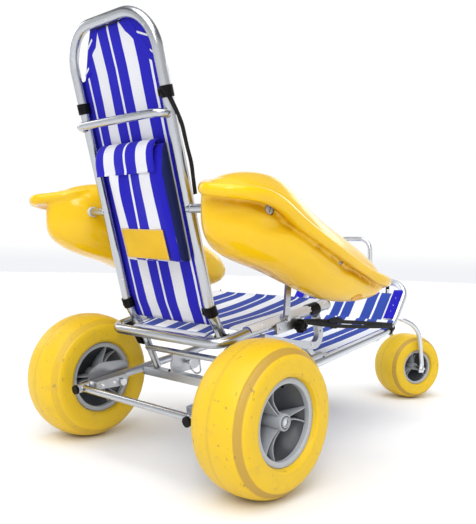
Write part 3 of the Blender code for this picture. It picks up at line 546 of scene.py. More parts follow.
class Sheet:
    """Rows of points on a sheet, with how far across and down the cloth each lies, in metres."""

    def __init__(self):
        self.rows, self.across, self.down = [], [], []

    def row(self, spots, across, down):
        self.rows.append(spots)
        self.across.append(across)
        self.down.append([down] * len(spots))

    def mesh(self, **closed):
        return surface(self.rows, values={"across": self.across, "down": self.down}, **closed)

    def sewn(self, name, body, finish, node=None, thick=CLOTH_THICK):
        piece = add(name, self.mesh(), body, finish, node, CLOTH_SHARP)
        modifier(piece, "SOLIDIFY", thickness=thick, offset=0.0)
        return piece


def add(name, mesh, body, finish, node=None, sharp=SHARP):
    """Makes a piece from a mesh given in the frame's own place, in place of a CAD node if one is named."""
    mesh.name = name
    if not mesh.materials:
        mesh.materials.append(FINISH[finish])
    mesh.shade_smooth()
    mesh.set_sharp_from_angle(angle=radians(sharp))
    piece = placed(name, mesh)
    if body:
        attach(piece, body)
    if node:
        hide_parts(node)
    return piece


def modifier(piece, kind, **settings):
    step = piece.modifiers.new(kind.title(), kind)
    for key, value in settings.items():
        setattr(step, key, value)


def apply_modifiers(piece):
    """Gives the piece the mesh that its modifiers make of it, for good."""
    bpy.context.view_layer.update()
    graph = bpy.context.evaluated_depsgraph_get()
    mesh = bpy.data.meshes.new_from_object(piece.evaluated_get(graph), preserve_all_data_layers=True, depsgraph=graph)
    piece.modifiers.clear()
    piece.data = mesh


def cut(piece, mesh):
    """Cuts the mesh out of the piece for good."""
    cutter = placed("cutter", mesh)
    modifier(piece, "BOOLEAN", operation="DIFFERENCE", object=cutter)
    apply_modifiers(piece)
    bpy.data.objects.remove(cutter)


def ring_profile(radius, tall):
    bevel = min(tall * 0.3, radius * 0.2)
    return [(0.0, TINY), (0.0, radius), (tall - bevel, radius), (tall, radius - bevel), (tall, TINY)]


def bolt_meshes(place, axis, radius, tall, sides=6):
    """A washer and a hexagon head that stand on a face."""
    foot = tall * 0.2
    head = [(foot, TINY), (foot, radius), (tall * 0.85, radius), (tall, radius * 0.86), (tall, TINY)]
    return [turned_mesh(ring_profile(radius * 1.35, tall * 0.25), place, axis, 24),
            turned_mesh(head, place, axis, sides)]


def weld(place, axis, radius):
    """A rippled weld bead round a tube's foot."""
    axis = Vector(axis).normalized()
    out = axis.orthogonal().normalized()
    over = axis.cross(out)
    rows = []
    for turn in turns(40):
        away = out * cos(turn) + over * sin(turn)
        size = 0.0022 * (1.0 + 0.22 * sin(turn * 14))
        rows.append([place + away * (radius + size * 0.3 * cos(a) + 0.0002) + axis * size * sin(a) for a in turns(8)])
    return surface(rows, wrap=True, loop=True)


# Aluminium frame


def metal(name, mesh, node=None, body="chassis", finish="aluminium"):
    """An aluminium piece from one mesh or from several."""
    add(name, joined(mesh) if isinstance(mesh, list) else mesh, body, finish, node)


def looped(x, *spots):
    """The spots at x, and then their mirror images the other way round."""
    return [point(x, *spot) for spot in spots] + [point(-x, *spot) for spot in reversed(spots)]


def rail_inside(ahead):
    """How far from the middle the rails' inner faces are."""
    return on_line((RAIL_REAR[0], RAIL_X), (RAIL_KNEE[0], RAIL_FRONT_X), ahead)[1] - RAIL_R


def add_frame():
    splices = {}
    for tag, side in SIDES:
        knee, toe = point(side * RAIL_FRONT_X, *RAIL_KNEE), point(side * RAIL_FRONT_X, *RAIL_TOE)
        splice = knee.lerp(toe, (RAIL_SPLICE - RAIL_KNEE[0]) / (RAIL_TOE[0] - RAIL_KNEE[0]))
        splices[side] = [splice, toe]
        rail = rounded([point(side * RAIL_X, *RAIL_REAR), knee, splice], [KNEE_BEND])
        metal(f"rail_tube_{tag}", tube_mesh(rail, RAIL_R), f"rail_{tag}", finish="rail")
        top, foot = point(side * BACK_X, *STAY_TOP), point(side * BACK_X, *STAY_FOOT)
        metal(f"stay_tube_{tag}", tube_mesh([top, top.lerp(foot, 0.97)], STAY_R), f"stay_{tag}")
    bends = rounded(splices[LEFT] + splices[RIGHT][::-1], [TOE_BEND, TOE_BEND])
    metal("foot_tube", tube_mesh(bends, RAIL_R), "foot_bar", finish="rail")
    for name, half, spot, radius in (
        ("rear_cross", rail_inside(REAR_CROSS[0]), REAR_CROSS, REAR_CROSS_R),
        ("upper_cross", BACK_X - STAY_R, UPPER_CROSS, UPPER_CROSS_R),
    ):
        metal(name, cross_tube(half, spot, radius), name + "_tube")
        beads = [weld(point(side * half, *spot), (1, 0, 0), radius) for _, side in SIDES]
        metal(name + "_welds", beads, finish="plate")
    add_seat_tubes()
    add_front_tubes()
    add_back_tubes()


def seat_spot(ahead):
    return on_line(SEAT_MID, SEAT_FRONT, ahead)


def add_seat_tubes():
    loop = rounded(looped(SEAT_X, SEAT_FRONT, SEAT_MID, SEAT_REAR), [0.25, SEAT_BEND, SEAT_BEND, 0.25])
    metal("seat_tube", tube_mesh(loop, SEAT_R), "seat_loop")
    metal("seat_front_tube", cross_tube(SEAT_X - SEAT_R, seat_spot(SEAT_FRONT[0] - 0.016), 0.011), "seat_front_bar")
    bores = []
    for _, side in SIDES:
        nose = point(side * SEAT_X, *SEAT_FRONT)
        out = (nose - point(side * SEAT_X, *SEAT_MID)).normalized()
        bores.append(turned_mesh(ring_profile(SEAT_R * 0.90, 0.004), nose + out * 0.0002, out, 32))
    metal("seat_tube_plugs", bores, finish="plug")


def add_front_tubes():
    arm_r = 0.0150
    stem = point(0, STEM_AHEAD, CROWN_Z)
    housing = [(0.0175, 0.0104), (0.0175, 0.0145), (0.0185, 0.0155), (0.129, 0.0155), (0.130, 0.0145), (0.130, 0.0004)]
    housing += [(0.1265, TINY), (0.1265, 0.0104)]
    metal("stem_housing_tube", turned_mesh(housing, stem, UP, 40), "stem_housing")
    arm = rounded([point(0, *FRONT_CROSS), point(0, 1.070, 0.348), point(0, STEM_AHEAD - 0.013, 0.4255)], [0.30])
    lean = (arm[-1] - arm[-2]).normalized()
    metal("caster_arm_tube", [
        tube_mesh(arm, arm_r), cross_tube(rail_inside(FRONT_CROSS[0]), FRONT_CROSS, FRONT_CROSS_R),
        weld(arm[-1] - lean * 0.001, lean, arm_r),
        weld(point(0, FRONT_CROSS[0] + 0.012, FRONT_CROSS[1]), (0, 1, 0), arm_r),
    ], "caster_arm", finish="rail")
    handle = tube_mesh(rounded(looped(-PULL_X, PULL_FOOT, PULL_TOP), [0.045, 0.045]), PULL_R)
    foot = PULL_FOOT[0] - 0.001, PULL_FOOT[1] + RAIL_R
    beads = [weld(point(side * PULL_X, *foot), (0, 0, 1), PULL_R) for _, side in SIDES]
    metal("pull_handle_tube", [handle, *beads], "pull_handle", finish="rail")


def back_spot(z):
    low, high = (BACK_KNEE, BACK_TOP) if z > BACK_KNEE[1] else (HINGE, BACK_KNEE)
    share = (z - low[1]) / (high[1] - low[1])
    return low[0] + share * (high[0] - low[0]), z


def add_back_tubes():
    legs = looped(BACK_X, HINGE, BACK_KNEE, BACK_TOP)
    for end, knee in ((0, 1), (-1, -2)):
        legs[end] = legs[end] + (legs[end] - legs[knee]) * 0.10
    meshes = [tube_mesh(rounded(legs, [KNEE_ARC, BACK_BEND, BACK_BEND, KNEE_ARC]), BACK_R)]
    for _, side in SIDES:
        meshes.append(cross_tube((side * BACK_X, side * FLOAT_STUB_X), FLOAT_TUBE, FLOAT_TUBE_R))
        meshes.append(weld(point(side * (BACK_X + BACK_R), *FLOAT_TUBE), (1, 0, 0), FLOAT_TUBE_R))
    metal("back_tube", meshes, "back_frame", "backrest")
    ahead, z = back_spot(HANDLE_Z)
    corners = [point(BACK_X, ahead - 0.012, z), point(HANDLE_X, HANDLE_AHEAD, z), point(-HANDLE_X, HANDLE_AHEAD, z),
               point(-BACK_X, ahead - 0.012, z)]
    handle = tube_mesh(rounded(corners, [0.028, 0.028]), HANDLE_R)
    beads = [weld(point(side * (BACK_X + 0.002), ahead - 0.015, z), (0, 1, 0.2), HANDLE_R) for _, side in SIDES]
    metal("push_handle_tube", [handle, *beads], "push_handle", "backrest")


def carry(names, finish, bevel=0.0008):
    """A CAD node that already has the right shape gets its finish and softened edges."""
    for name in names:
        node = frame["nodes"][name]
        node.data.materials.clear()
        node.data.materials.append(FINISH[finish])
        for face in node.data.polygons:
            face.use_smooth = True
            face.material_index = 0
        node.data.set_sharp_from_angle(angle=radians(SHARP))
        modifier(node, "BEVEL", width=bevel, segments=2, limit_method="ANGLE", angle_limit=radians(SHARP))


def both(*names):
    return [f"{name}_{tag}" for name in names for tag, _ in SIDES]


def carry_nodes():
    carry(["lower_cross_channel", *both("axle_plate", "axle_block", "strut_bracket", "hook"), "lock_plate"], "plate")
    carry(both("strut"), "aluminium")
    carry([*both("axle"), "front_axle", "lock_pin"], "steel", 0.0005)
    carry([*both("rail_cap", "pivot_block", "hook_cap", "clip_upper", "clip_lower"), "strap_clamp"], "black", 0.0010)


# Wheels


def tyre_mesh(centre, axis, radius, width, rim):
    """The tyre's section is a soft oblong, with a fine seam at the crown, a groove at the shoulder, a raised
    sidewall and a ridge near the rim, all placed by degrees from the crown. The tint value is high in the groove."""
    groove_start, groove_end, ridge_at, wall_end = 47, 68, 101, 118
    low, high = rim + 0.001, radius
    middle = low + (high - low) * 0.42
    profile, tint = [], []
    for turn in turns(220):
        side = 1 if sin(turn) >= 0 else -1
        rise = cos(turn)
        power = 2 / 2.35 if rise > 0 else 2 / 6.5
        x = side * width / 2 * abs(sin(turn)) ** power
        reach = (high - middle) if rise > 0 else (middle - low)
        r = middle + reach * (abs(rise) ** power) * (1 if rise > 0 else -1)
        angle = abs(turn if turn <= pi else 2 * pi - turn) * 180 / pi
        seam, ridge = hump(angle, 0, 1.6), hump(angle, ridge_at, 1.3)
        groove = (1.0 if side > 0 else 0.35) * (past(angle, groove_start, 0.5) - past(angle, groove_end, 0.5))
        step = past(angle, groove_end, 0.7) * (1 if angle < wall_end else hump(angle, wall_end, 9))
        lift = 0.0008 * seam - 0.0030 * groove + 0.0016 * step + 0.0006 * ridge
        away = Vector((x / (width / 2), (r - middle) / reach)).normalized() * lift * (radius / 0.21)
        profile.append((x + away.x, r + away.y))
        tint.append(min(1.0, groove + 0.4 * seam + 0.25 * ridge))
    return turned_mesh(profile, centre, axis, 128, {"tint": tint})


def hub_parts(centre, axis, rim, lip, boss_half, first_spoke):
    """A deep bowl on each side, with three pairs of curved ribs from the boss to the rim."""
    axis, ahead, up = wheel_axes(axis)
    scale = rim / 0.114
    web = 0.010 * scale
    boss = 0.024 * scale

    def bowl(r):
        share = max(0.0, min(1.0, (r - boss) / (rim * 0.88 - boss)))
        return web + (lip - 0.016 * scale - web) * share**2.2

    spots = [boss * 0.5 + (rim * 0.90 - boss * 0.5) * i / 14 for i in range(15)]
    dish = [(bowl(r), r) for r in spots] + [(-bowl(r), r) for r in reversed(spots)]
    # the dish gets the near-black bowl plastic, painted shade in the deep bowl
    plastic, dark = [], turned_mesh(dish, centre, axis, 96)
    edge = 0.0035 * scale
    outer, inner = rim * 1.035, rim * 0.885
    rounds = [radians(90 * i / 4) for i in range(5)]
    ring = [(lip - edge + edge * sin(t), outer - edge + edge * cos(t)) for t in rounds]
    ring += [(lip - edge + edge * cos(t), inner + edge - edge * sin(t)) for t in rounds]
    ring += [(lip * 0.62, inner + 0.002), (lip * 0.62, inner + 0.006)]
    band = ring + [(-x, r) for x, r in reversed(ring)]
    rims = turned_mesh(band, centre, axis, 96)
    for flip in (1, -1):
        wall = [(0.0, boss * 0.2), (0.0, boss), (boss_half * 0.94, boss * 0.96), (boss_half * 0.97, boss * 0.90),
                (boss_half * 0.97, boss * 0.76), (boss_half * 0.93, boss * 0.73), (boss_half * 0.93, boss * 0.60),
                (boss_half, boss * 0.57), (boss_half, boss * 0.44), (boss_half * 0.93, boss * 0.41),
                (boss_half * 0.93, boss * 0.2)]
        plastic.append(turned_mesh([(flip * x, r) for x, r in wall], centre, axis, 48))
        for spoke in range(3):
            base = first_spoke + 2 * pi * spoke / 3
            for bow in (-1, 1):
                rows = []
                steps = 16
                for i in range(steps + 1):
                    t = i / steps
                    r = boss * 0.80 + (rim * 0.90 - boss * 0.80) * t
                    turn = base + bow * (0.150 + 0.060 * t**1.5 - 0.05 * sin(pi * t))
                    out = ahead * cos(turn) + up * sin(turn)
                    over = -ahead * sin(turn) + up * cos(turn)
                    top = boss_half * 0.86 + (lip - 0.010 * scale - boss_half * 0.86) * t - 0.012 * scale * sin(pi * t)
                    foot = bowl(r) - 0.002
                    thin = 0.0021 * scale
                    chamfer = top - thin
                    corners = ((-1.5, foot), (-1.0, chamfer), (-0.5, top), (0.5, top), (1.0, chamfer), (1.5, foot))
                    rows.append([centre + out * r + over * (wide * thin) + axis * (flip * depth)
                                 for wide, depth in corners])
                plastic.append(surface(rows, wrap=True, caps=True))
    return joined(plastic), rims, dark


def add_wheel(tag, body, centre, axis, radius, width, rim, first_spoke, boss_share=0.43):
    centre, axis = Vector(centre), Vector(axis).normalized()
    tyre = tyre_mesh(centre, axis, radius, width, rim)
    add(f"{tag}_balloon_tyre", tyre, body, "tyre", f"{tag}_tyre", 60)
    spokes, rims, dish = hub_parts(centre, axis, rim, width * 0.43, width * boss_share, first_spoke)
    # the dish's near-black plastic is painted shade in the bowl
    add(f"{tag}_hub_dish", dish, body, "bowl", f"{tag}_hub")
    add(f"{tag}_hub_spokes", spokes, body, "hub")
    add(f"{tag}_hub_rim", rims, body, "rim")
    start = centre + UP * (rim * 0.93) * 0.90 + axis * width * 0.20
    stem = tube_mesh([start, start + axis * width * 0.17 - UP * 0.004], 0.0032, 12)
    add(f"{tag}_valve", stem, body, "black")


def add_wheels():
    for tag, side in SIDES:
        joint = JOINTS[f"wheel_{tag}_spin"]["pos_m"]
        low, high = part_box(f"{tag}_tyre")
        radius, width = (high[2] - low[2]) / 2, high[0] - low[0]
        add_wheel(tag, f"wheel_{tag}", joint, (side, 0, 0), radius, width, 0.114, radians(2 if side < 0 else 65))
    joint = JOINTS["front_wheel_spin"]
    add_wheel("front", "front_wheel", joint["pos_m"], [-part for part in joint["axis"]], 0.144, FRONT_WIDTH, 0.073,
              radians(95), 0.37)


def add_fork():
    """The fork's bent tube with its stem, and flattened feet on the axle."""
    centre = Vector(JOINTS["front_wheel_spin"]["pos_m"])
    axle = Vector((cos(CASTER_YAW), -sin(CASTER_YAW), 0))
    ahead = Vector((-sin(CASTER_YAW), -cos(CASTER_YAW), 0))
    stem = point(0, STEM_AHEAD, CROWN_Z)
    arm_x = FRONT_WIDTH / 2 + 0.020
    route, nuts = [], []
    for side in (-1, 1):
        hip = stem + axle * (side * 0.075)
        knee = centre + axle * (side * arm_x) + UP * 0.185 - ahead * 0.020
        foot = centre + axle * (side * arm_x) + UP * 0.020
        route += [foot, knee, hip] if side < 0 else [hip, knee, foot]
    parts = [tube_mesh(rounded(route, [0.10, 0.045, 0.045, 0.10]), 0.010)]
    parts.append(tube_mesh([stem - UP * 0.012, stem + UP * 0.120], 0.0095))
    parts.append(turned_mesh(ring_profile(0.021, 0.030), stem - UP * 0.014, UP, 40))
    for side in (-1, 1):
        foot = centre + axle * (side * arm_x)
        rows = []
        for i in range(7):
            t = i / 6
            wide, deep = 0.0098 + 0.0042 * t, 0.0098 - 0.0065 * t
            spot = foot + UP * (0.030 - 0.048 * t)
            rows.append([spot + ahead * (wide * cos(a)) + axle * (deep * sin(a)) for a in turns(20)])
        parts.append(surface(rows, wrap=True, caps=True))
        nuts += bolt_meshes(centre + axle * (side * (arm_x + 0.0040)), axle * side, 0.0085, 0.009)
    metal("caster_fork_tube", parts, "caster_fork", "caster", "rail")
    add("front_axle_nuts", joined(nuts), "caster", "steel")


# Floats


def float_stations():
    """(ahead, floor z, lip z, crown z, inner x, outer x) of the float's body, rear to front, without its lip."""
    return (
        (-0.194, 0.722, 0.797, 0.790, 0.348, 0.376),
        (-0.184, 0.696, 0.797, 0.806, 0.334, 0.396),
        (-0.165, 0.674, 0.796, 0.820, 0.312, 0.424),
        (-0.135, 0.655, 0.794, 0.838, 0.284, 0.450),
        (-0.100, 0.637, 0.789, 0.852, 0.262, 0.464),
        (-0.045, 0.619, 0.774, 0.863, 0.250, 0.472),
        (0.020, 0.602, 0.742, 0.866, 0.250, 0.476),
        (0.080, 0.584, 0.715, 0.856, 0.258, 0.477),
        (0.122, 0.567, 0.698, 0.834, 0.270, 0.475),
        (0.164, 0.550, 0.682, 0.803, 0.284, 0.473),
        (0.217, 0.532, 0.662, 0.773, 0.2885, 0.469),
        (0.303, 0.509, 0.631, 0.738, 0.2890, 0.461),
        (0.393, 0.500, 0.600, 0.706, 0.2900, 0.450),
        (0.490, 0.503, 0.576, 0.670, 0.295, 0.435),
        (0.560, 0.515, 0.568, 0.636, 0.306, 0.420),
        (0.610, 0.538, 0.566, 0.600, 0.330, 0.392),
    )


def lip_path():
    """(x, ahead, z, radius) along the float's rolled lip: from the inner side, round the rear and the outer side."""
    return (
        (0.290, -0.095, 0.838, 0.0060), (0.300, -0.130, 0.826, 0.0120), (0.325, -0.164, 0.815, 0.0165),
        (0.357, -0.196, 0.806, 0.0180), (0.390, -0.221, 0.801, 0.0180), (0.427, -0.208, 0.798, 0.0185),
        (0.456, -0.184, 0.796, 0.0190), (0.474, -0.145, 0.793, 0.0195), (0.480, -0.095, 0.787, 0.0195),
        (0.481, -0.040, 0.770, 0.0195), (0.481, 0.020, 0.740, 0.0190), (0.480, 0.080, 0.713, 0.0185),
        (0.477, 0.190, 0.671, 0.0175), (0.470, 0.300, 0.632, 0.0165), (0.461, 0.410, 0.596, 0.0160),
        (0.452, 0.500, 0.572, 0.0185), (0.430, 0.566, 0.563, 0.0195), (0.392, 0.598, 0.562, 0.0185),
        (0.350, 0.606, 0.569, 0.0130), (0.318, 0.590, 0.575, 0.0070),
    )


def smoothed(rows, pieces):
    """Rows of numbers, with smooth ones between them."""
    tops = flowing([Vector(row[:3]) for row in rows], pieces)
    tails = flowing([Vector((*row[3:], 0.0, 0.0)[:3]) for row in rows], pieces)
    return [(*top, *tail) for top, tail in zip(tops, tails)]


def float_ring(station, side):
    """One cross section of the body: a full belly, an upright outer wall and a crown nearer the user."""
    ahead, floor, lip, crown, inner, outer = station
    corners = ((0.50, -1.00), (0.72, -0.96), (0.89, -0.82), (0.99, -0.56), (0.985, -0.30), (0.92, -0.12), (0.91, 0.16),
               (0.80, 0.54), (0.64, 0.83), (0.50, 0.98), (0.36, 1.00), (0.20, 0.87), (0.08, 0.54), (0.02, 0.10),
               (0.00, -0.30), (0.03, -0.60), (0.13, -0.84), (0.30, -0.97))
    ring = []
    for across, up in corners:
        z = lip + up * (crown - lip if up > 0 else lip - floor)
        ring.append(point(side * (inner + across * (outer - inner)), ahead, z))
    return flowing([ring[-1], *ring, ring[0], ring[1]], 3)[3:-6]


def lip_meshes(side):
    """The rolled bead, and the shelf that joins it to the body."""
    path = smoothed(lip_path(), 3)
    bead, shelf = [], []
    for i, (x, ahead, z, radius, *_) in enumerate(path):
        spot = point(side * x, ahead, z)
        before, after = path[max(i - 1, 0)], path[min(i + 1, len(path) - 1)]
        run = (point(side * after[0], *after[1:3]) - point(side * before[0], *before[1:3])).normalized()
        over = run.cross(UP).normalized()
        up = over.cross(run)
        bead.append([spot + (over * cos(a) + up * sin(a)) * radius for a in turns(20)])
        middle = point(side * 0.375, max(-0.16, min(0.50, ahead)), z)
        high, low = UP * (radius * 0.75), UP * (-radius * 0.55)
        shelf.append([spot + high, middle + high * 1.4, middle + low, spot + low])
    return [surface(bead, wrap=True, caps=True), surface(shelf, wrap=True, caps=True)]


def scooped(spot, side):
    """Pushes the outer wall in around the two plugs, and in a long hollow under the lip."""
    ahead = AXLE_Y - spot.y
    if side * spot.x < 0.36:
        return
    for hole_ahead, hole_z, long, tall, deep in (
        (-0.045, 0.722, 0.080, 0.020, 0.010), (-0.150, 0.745, 0.040, 0.018, 0.006),
        (FLOAT_PIN[0] + 0.040, FLOAT_PIN[1] - 0.022, 0.050, 0.016, 0.005),
    ):
        near = exp(-(((ahead - hole_ahead) / long) ** 2) - ((spot.z - hole_z + 0.004) / tall) ** 2)
        spot.x -= side * deep * near


def add_float_shell(tag, side, body):
    """The float's hollow body with its lip and scoops."""
    rows = [float_ring(station, side) for station in smoothed(float_stations(), 3)]
    mesh = joined([surface(rows, wrap=True, caps=True), *lip_meshes(side)])
    shell = add(f"float_shell_{tag}", mesh, body, "float", f"float_{tag}", 70)
    modifier(shell, "REMESH", mode="VOXEL", voxel_size=0.0050, use_smooth_shade=True)
    modifier(shell, "SMOOTH", factor=0.5, iterations=14)
    apply_modifiers(shell)
    for vertex in shell.data.vertices:
        scooped(vertex.co, side)
    return shell


def add_floats():
    """Each float with its bores for the tube and the pin, its two slotted plugs, its pin and its drain."""
    for tag, side in SIDES:
        body = f"armrest_{tag}"
        shell = add_float_shell(tag, side, body)
        skin = BVHTree.FromPolygons([vertex.co.copy() for vertex in shell.data.vertices],
                                    [tuple(face.vertices) for face in shell.data.polygons])
        inward = Vector((-side, 0, 0))
        walls = [abs(skin.ray_cast(point(side * 0.56, ahead, z - 0.006), inward)[0].x) for (ahead, z), _ in FLOAT_PLUGS]
        holes = [(FLOAT_TUBE, FLOAT_TUBE_R + 0.0022, 0.20, 0.440),
                 (FLOAT_PIN, SLEEVE_R + 0.0022, 0.20, walls[1] - 0.012)]
        for (spot, radius), wall in zip(FLOAT_PLUGS, walls):
            holes.append((spot, radius + 0.0018, wall - 0.015, wall + 0.004))
        for spot, radius, start, end in holes:
            cut(shell, cross_tube((side * start, side * end), spot, radius, 32))
        shell.data.shade_smooth()
        shell.data.set_sharp_from_angle(angle=radians(50))
        plugs, slots = [], []
        for ((ahead, z), radius), wall in zip(FLOAT_PLUGS, walls):
            profile = [(-0.012, TINY), (-0.012, radius), (0.0012, radius), (0.0030, radius * 0.86),
                       (0.0034, radius * 0.4), (0.0034, TINY)]
            plugs.append(turned_mesh(profile, point(side * (wall - 0.0030), ahead, z), (side, 0, 0), 40))
            lean = Vector((0, -0.35, 1)).normalized() * radius * 0.62
            face = point(side * (wall + 0.0004), ahead, z)
            slots.append(ribbon([face - lean, face, face + lean], (side, 0, 0), 0.0022, 0.0006))
        for start, radius in ((0.262, PIN_R), (STRUT_X + 0.0046, SLEEVE_R)):
            plugs.append(cross_tube((side * start, side * (walls[1] - 0.014)), FLOAT_PIN, radius, 32))
        collar = [(-0.012, 0.0128), (-0.012, 0.0165), (0.001, 0.0165), (0.002, 0.0150), (0.002, 0.0128)]
        plugs.append(turned_mesh(collar, point(side * 0.2590, *FLOAT_TUBE), (-side, 0, 0), 40))
        add(f"float_plugs_{tag}", joined(plugs), body, "plug", f"float_pin_{tag}")
        add(f"float_plug_slots_{tag}", joined(slots), body, "black")
        add_drain(tag, side, body, skin)


def add_drain(tag, side, body, skin):
    """An oval bung low on the front of the float's outer side, flat on its skin."""
    centre, out, _, _ = skin.find_nearest(point(side * 0.430, 0.3984, 0.5150))
    long = Vector((0, -0.97, -0.10))
    long = (long - out * long.dot(out)).normalized()
    over = out.cross(long)
    rows = []
    for size, rise in ((1.0, -0.008), (1.0, 0.0014), (0.90, 0.0026), (0.80, 0.0010), (0.10, 0.0004)):
        ring = [(long * (0.028 * cos(a)) + over * (0.0150 * sin(a))) * size for a in turns(32)]
        rows.append([centre + spot + out * rise for spot in ring])
    add(f"float_drain_{tag}", surface(rows, wrap=True, caps=True), body, "drain")


# Cloth


def spaced(spots, bends, gap=0.012):
    """An (ahead, z) path with round corners and evenly spaced points, and its length."""
    route = rounded([Vector((ahead, 0, z)) for ahead, z in spots], bends)
    runs = [(b - a).length for a, b in zip(route, route[1:])]
    total = sum(runs)
    count = max(2, round(total / gap))
    made = []
    for i in range(count + 1):
        left = total * i / count
        for a, b, run in zip(route, route[1:], runs):
            if left <= run + 1e-9:
                made.append(a.lerp(b, min(1.0, left / run)))
                break
            left -= run
    return made, total


def stretched_cloth(name, spots, bend, half_x, tube_r, reach, sag, ripple, seed, body, finish, node, offset=None):
    """Cloth stretched over two tubes: it lies on their tops, goes round each and sags between them.

    reach(ahead, z) gives the half width of its flat part and how many radians it goes round the tubes. The across
    and down values are the cloth's own lengths in metres. Returns the cloth, its length and width, and its area.
    """
    path, total = spaced(spots, [bend])
    lift = tube_r + CLOTH_THICK * 0.6
    columns = 72
    sheet = Sheet()
    for j, spot in enumerate(path):
        before, after = path[max(j - 1, 0)], path[min(j + 1, len(path) - 1)]
        run = (after - before).normalized()
        out = Vector((-run.z, 0, run.x)) if run.x > 0 else Vector((run.z, 0, -run.x))
        if abs(run.x) < abs(run.z):
            out = Vector((abs(run.z), 0, -run.x * (1 if run.z > 0 else -1)))
        share = j / (len(path) - 1)
        dip = sin(pi * min(1.0, max(0.04, share))) ** 0.35
        flat, turn_most = reach(spot.x, spot.z)
        most = flat + turn_most * lift
        stand = offset(spot.z) if offset else 1.0
        row, across = [], []
        for i in range(columns + 1):
            s = most * (2 * i / columns - 1)
            size = abs(s)
            if size <= half_x or turn_most == 0:
                x = s
                edge = min(1.0, max(0.0, (half_x - size) / 0.05))
                high = lift * stand - sag * (1 - min(1.0, size / half_x) ** 2) * dip
                high += ripple * noise.noise(Vector((s * 7 + seed, share * total * 5, seed))) * edge
            else:
                turn = (size - half_x) / lift
                x = (1 if s >= 0 else -1) * (half_x + lift * sin(turn))
                high = lift * cos(turn)
            row.append(point(x, spot.x + out.x * high, spot.z + out.z * high))
            across.append(s - STRIPE_SHIFT)
        sheet.row(row, across, share * total)
    cloth = sheet.sewn(name, body, finish, node)
    widest = max(line[-1] - line[0] for line in sheet.across)
    area = sum(face.area for face in cloth.data.polygons)
    return cloth, {"flat": (widest, total), "area": min(area, widest * total)}


def back_reach(ahead, z):
    """The back cloth goes round the legs up to the taper, and narrows from there to the top bar."""
    taper_start, taper_end = 1.145, 1.282
    if z < taper_start:
        return BACK_X, radians(78)
    part = min(1.0, (z - taper_start) / (taper_end - taper_start))
    return 0.172 + (0.082 - 0.172) * part, 0.0


def back_stand(z):
    """How much of the tubes' radius the back cloth stands forward of their middle plane at height z."""
    return 1.0 - 0.55 * max(0.0, (z - 1.155) / 0.121)


def add_back_cloth():
    spots = [(0.026, 0.424), (0.0, 0.4785), back_spot(1.276)]
    cloth, cut_size = stretched_cloth("back_cloth", spots, 0.16, BACK_X, BACK_R, back_reach, 0.010, 0.0035, 3.0,
                                      "backrest", "stripes", "back_panel", back_stand)
    add_back_hems()


def on_back(x, z, rear):
    """A point on the back's plane, or rear metres behind the tubes' middle plane."""
    ahead, _ = back_spot(z)
    lean = Vector((BACK_TOP[0] - BACK_KNEE[0], BACK_TOP[1] - BACK_KNEE[1])).normalized()
    return point(x, ahead - lean.y * rear, z + lean.x * rear)


def band(name, corners, finish, rear, lies_on_cloth=False, grid=10, thick=0.0016):
    """A sewn patch on the back's plane between four (x, z) corners, rear metres behind its middle or the cloth."""
    a, b, c, d = (Vector(corner) for corner in corners)
    sheet = Sheet()
    for j in range(grid + 1):
        v = j / grid
        left, right = a.lerp(d, v), b.lerp(c, v)
        line = [left.lerp(right, i / grid) for i in range(grid + 1)]
        row = [on_back(x, z, rear - (BACK_R * back_stand(z) if lies_on_cloth else 0.0)) for x, z in line]
        sheet.row(row, [x for x, _ in line], v * (d - a).length)
    return sheet.sewn(name, "backrest", finish, thick=thick)


def add_back_hems():
    """The folded blue corners of the taper with their white piping, and a black band under the top bar, painted shade
    on the cloth's folded sleeve there.
    """
    sewn = []
    for tag, side in SIDES:
        outer = 0.083 if side > 0 else 0.094
        corners = [(side * outer, 1.274), (side * 0.046, 1.276), (side * 0.116, 1.168), (side * 0.170, 1.147)]
        sewn.append(band(f"back_corner_{tag}", corners, "blue", 0.0030, True))
    corners = [(-0.134, 1.262), (-0.093, 1.274), (-0.169, 1.148), (-0.183, 1.172)]
    sewn.append(band("back_corner_edge", corners, "blue", 0.0028, True))
    piping = (((0.084, 1.250), (0.114, 1.231)), ((0.135, 1.180), (0.162, 1.164)), ((-0.114, 1.2335), (-0.161, 1.2150)),
              ((-0.148, 1.183), (-0.166, 1.167)))
    for i, ends in enumerate(piping):
        a, b = (Vector(end) for end in ends)
        over = Vector((0, 0.0028))
        corners = [tuple(spot) for spot in (a + over, b + over, b - over, a - over)]
        sewn.append(band(f"back_piping_{i + 1}", corners, "white_hem", 0.0046, True, thick=0.0012))
    # painted shade: a black band under the top bar, where the cloth's folded sleeve lies in shade
    trim = [(-0.060, 1.272), (0.060, 1.272), (0.060, 1.281), (-0.060, 1.281)]
    return [*sewn, band("back_top_trim", trim, "trim", -0.0030, thick=0.004)]


def seat_reach(ahead, z):
    """The seat cloth is narrower behind the backrest's legs, and goes round the rails in front of them."""
    return (0.166, 0.0) if ahead < 0.095 else (SEAT_X, radians(84))


def add_seat_cloth():
    spots = [(0.006, 0.390), (0.110, 0.414), seat_spot(0.488)]
    # the seat cloth uses the lighter copy of the stripes, painted light for its upward face
    cloth, cut_size = stretched_cloth(
        "seat_cloth", spots, 0.25, SEAT_X, SEAT_R, seat_reach, 0.016, 0.0040, 11.0, "chassis", "seat_stripes",
        "seat_panel", lambda z: 0.55 + 0.45 * min(1.0, (z - 0.390) / 0.024),
    )
    add_seat_hems()


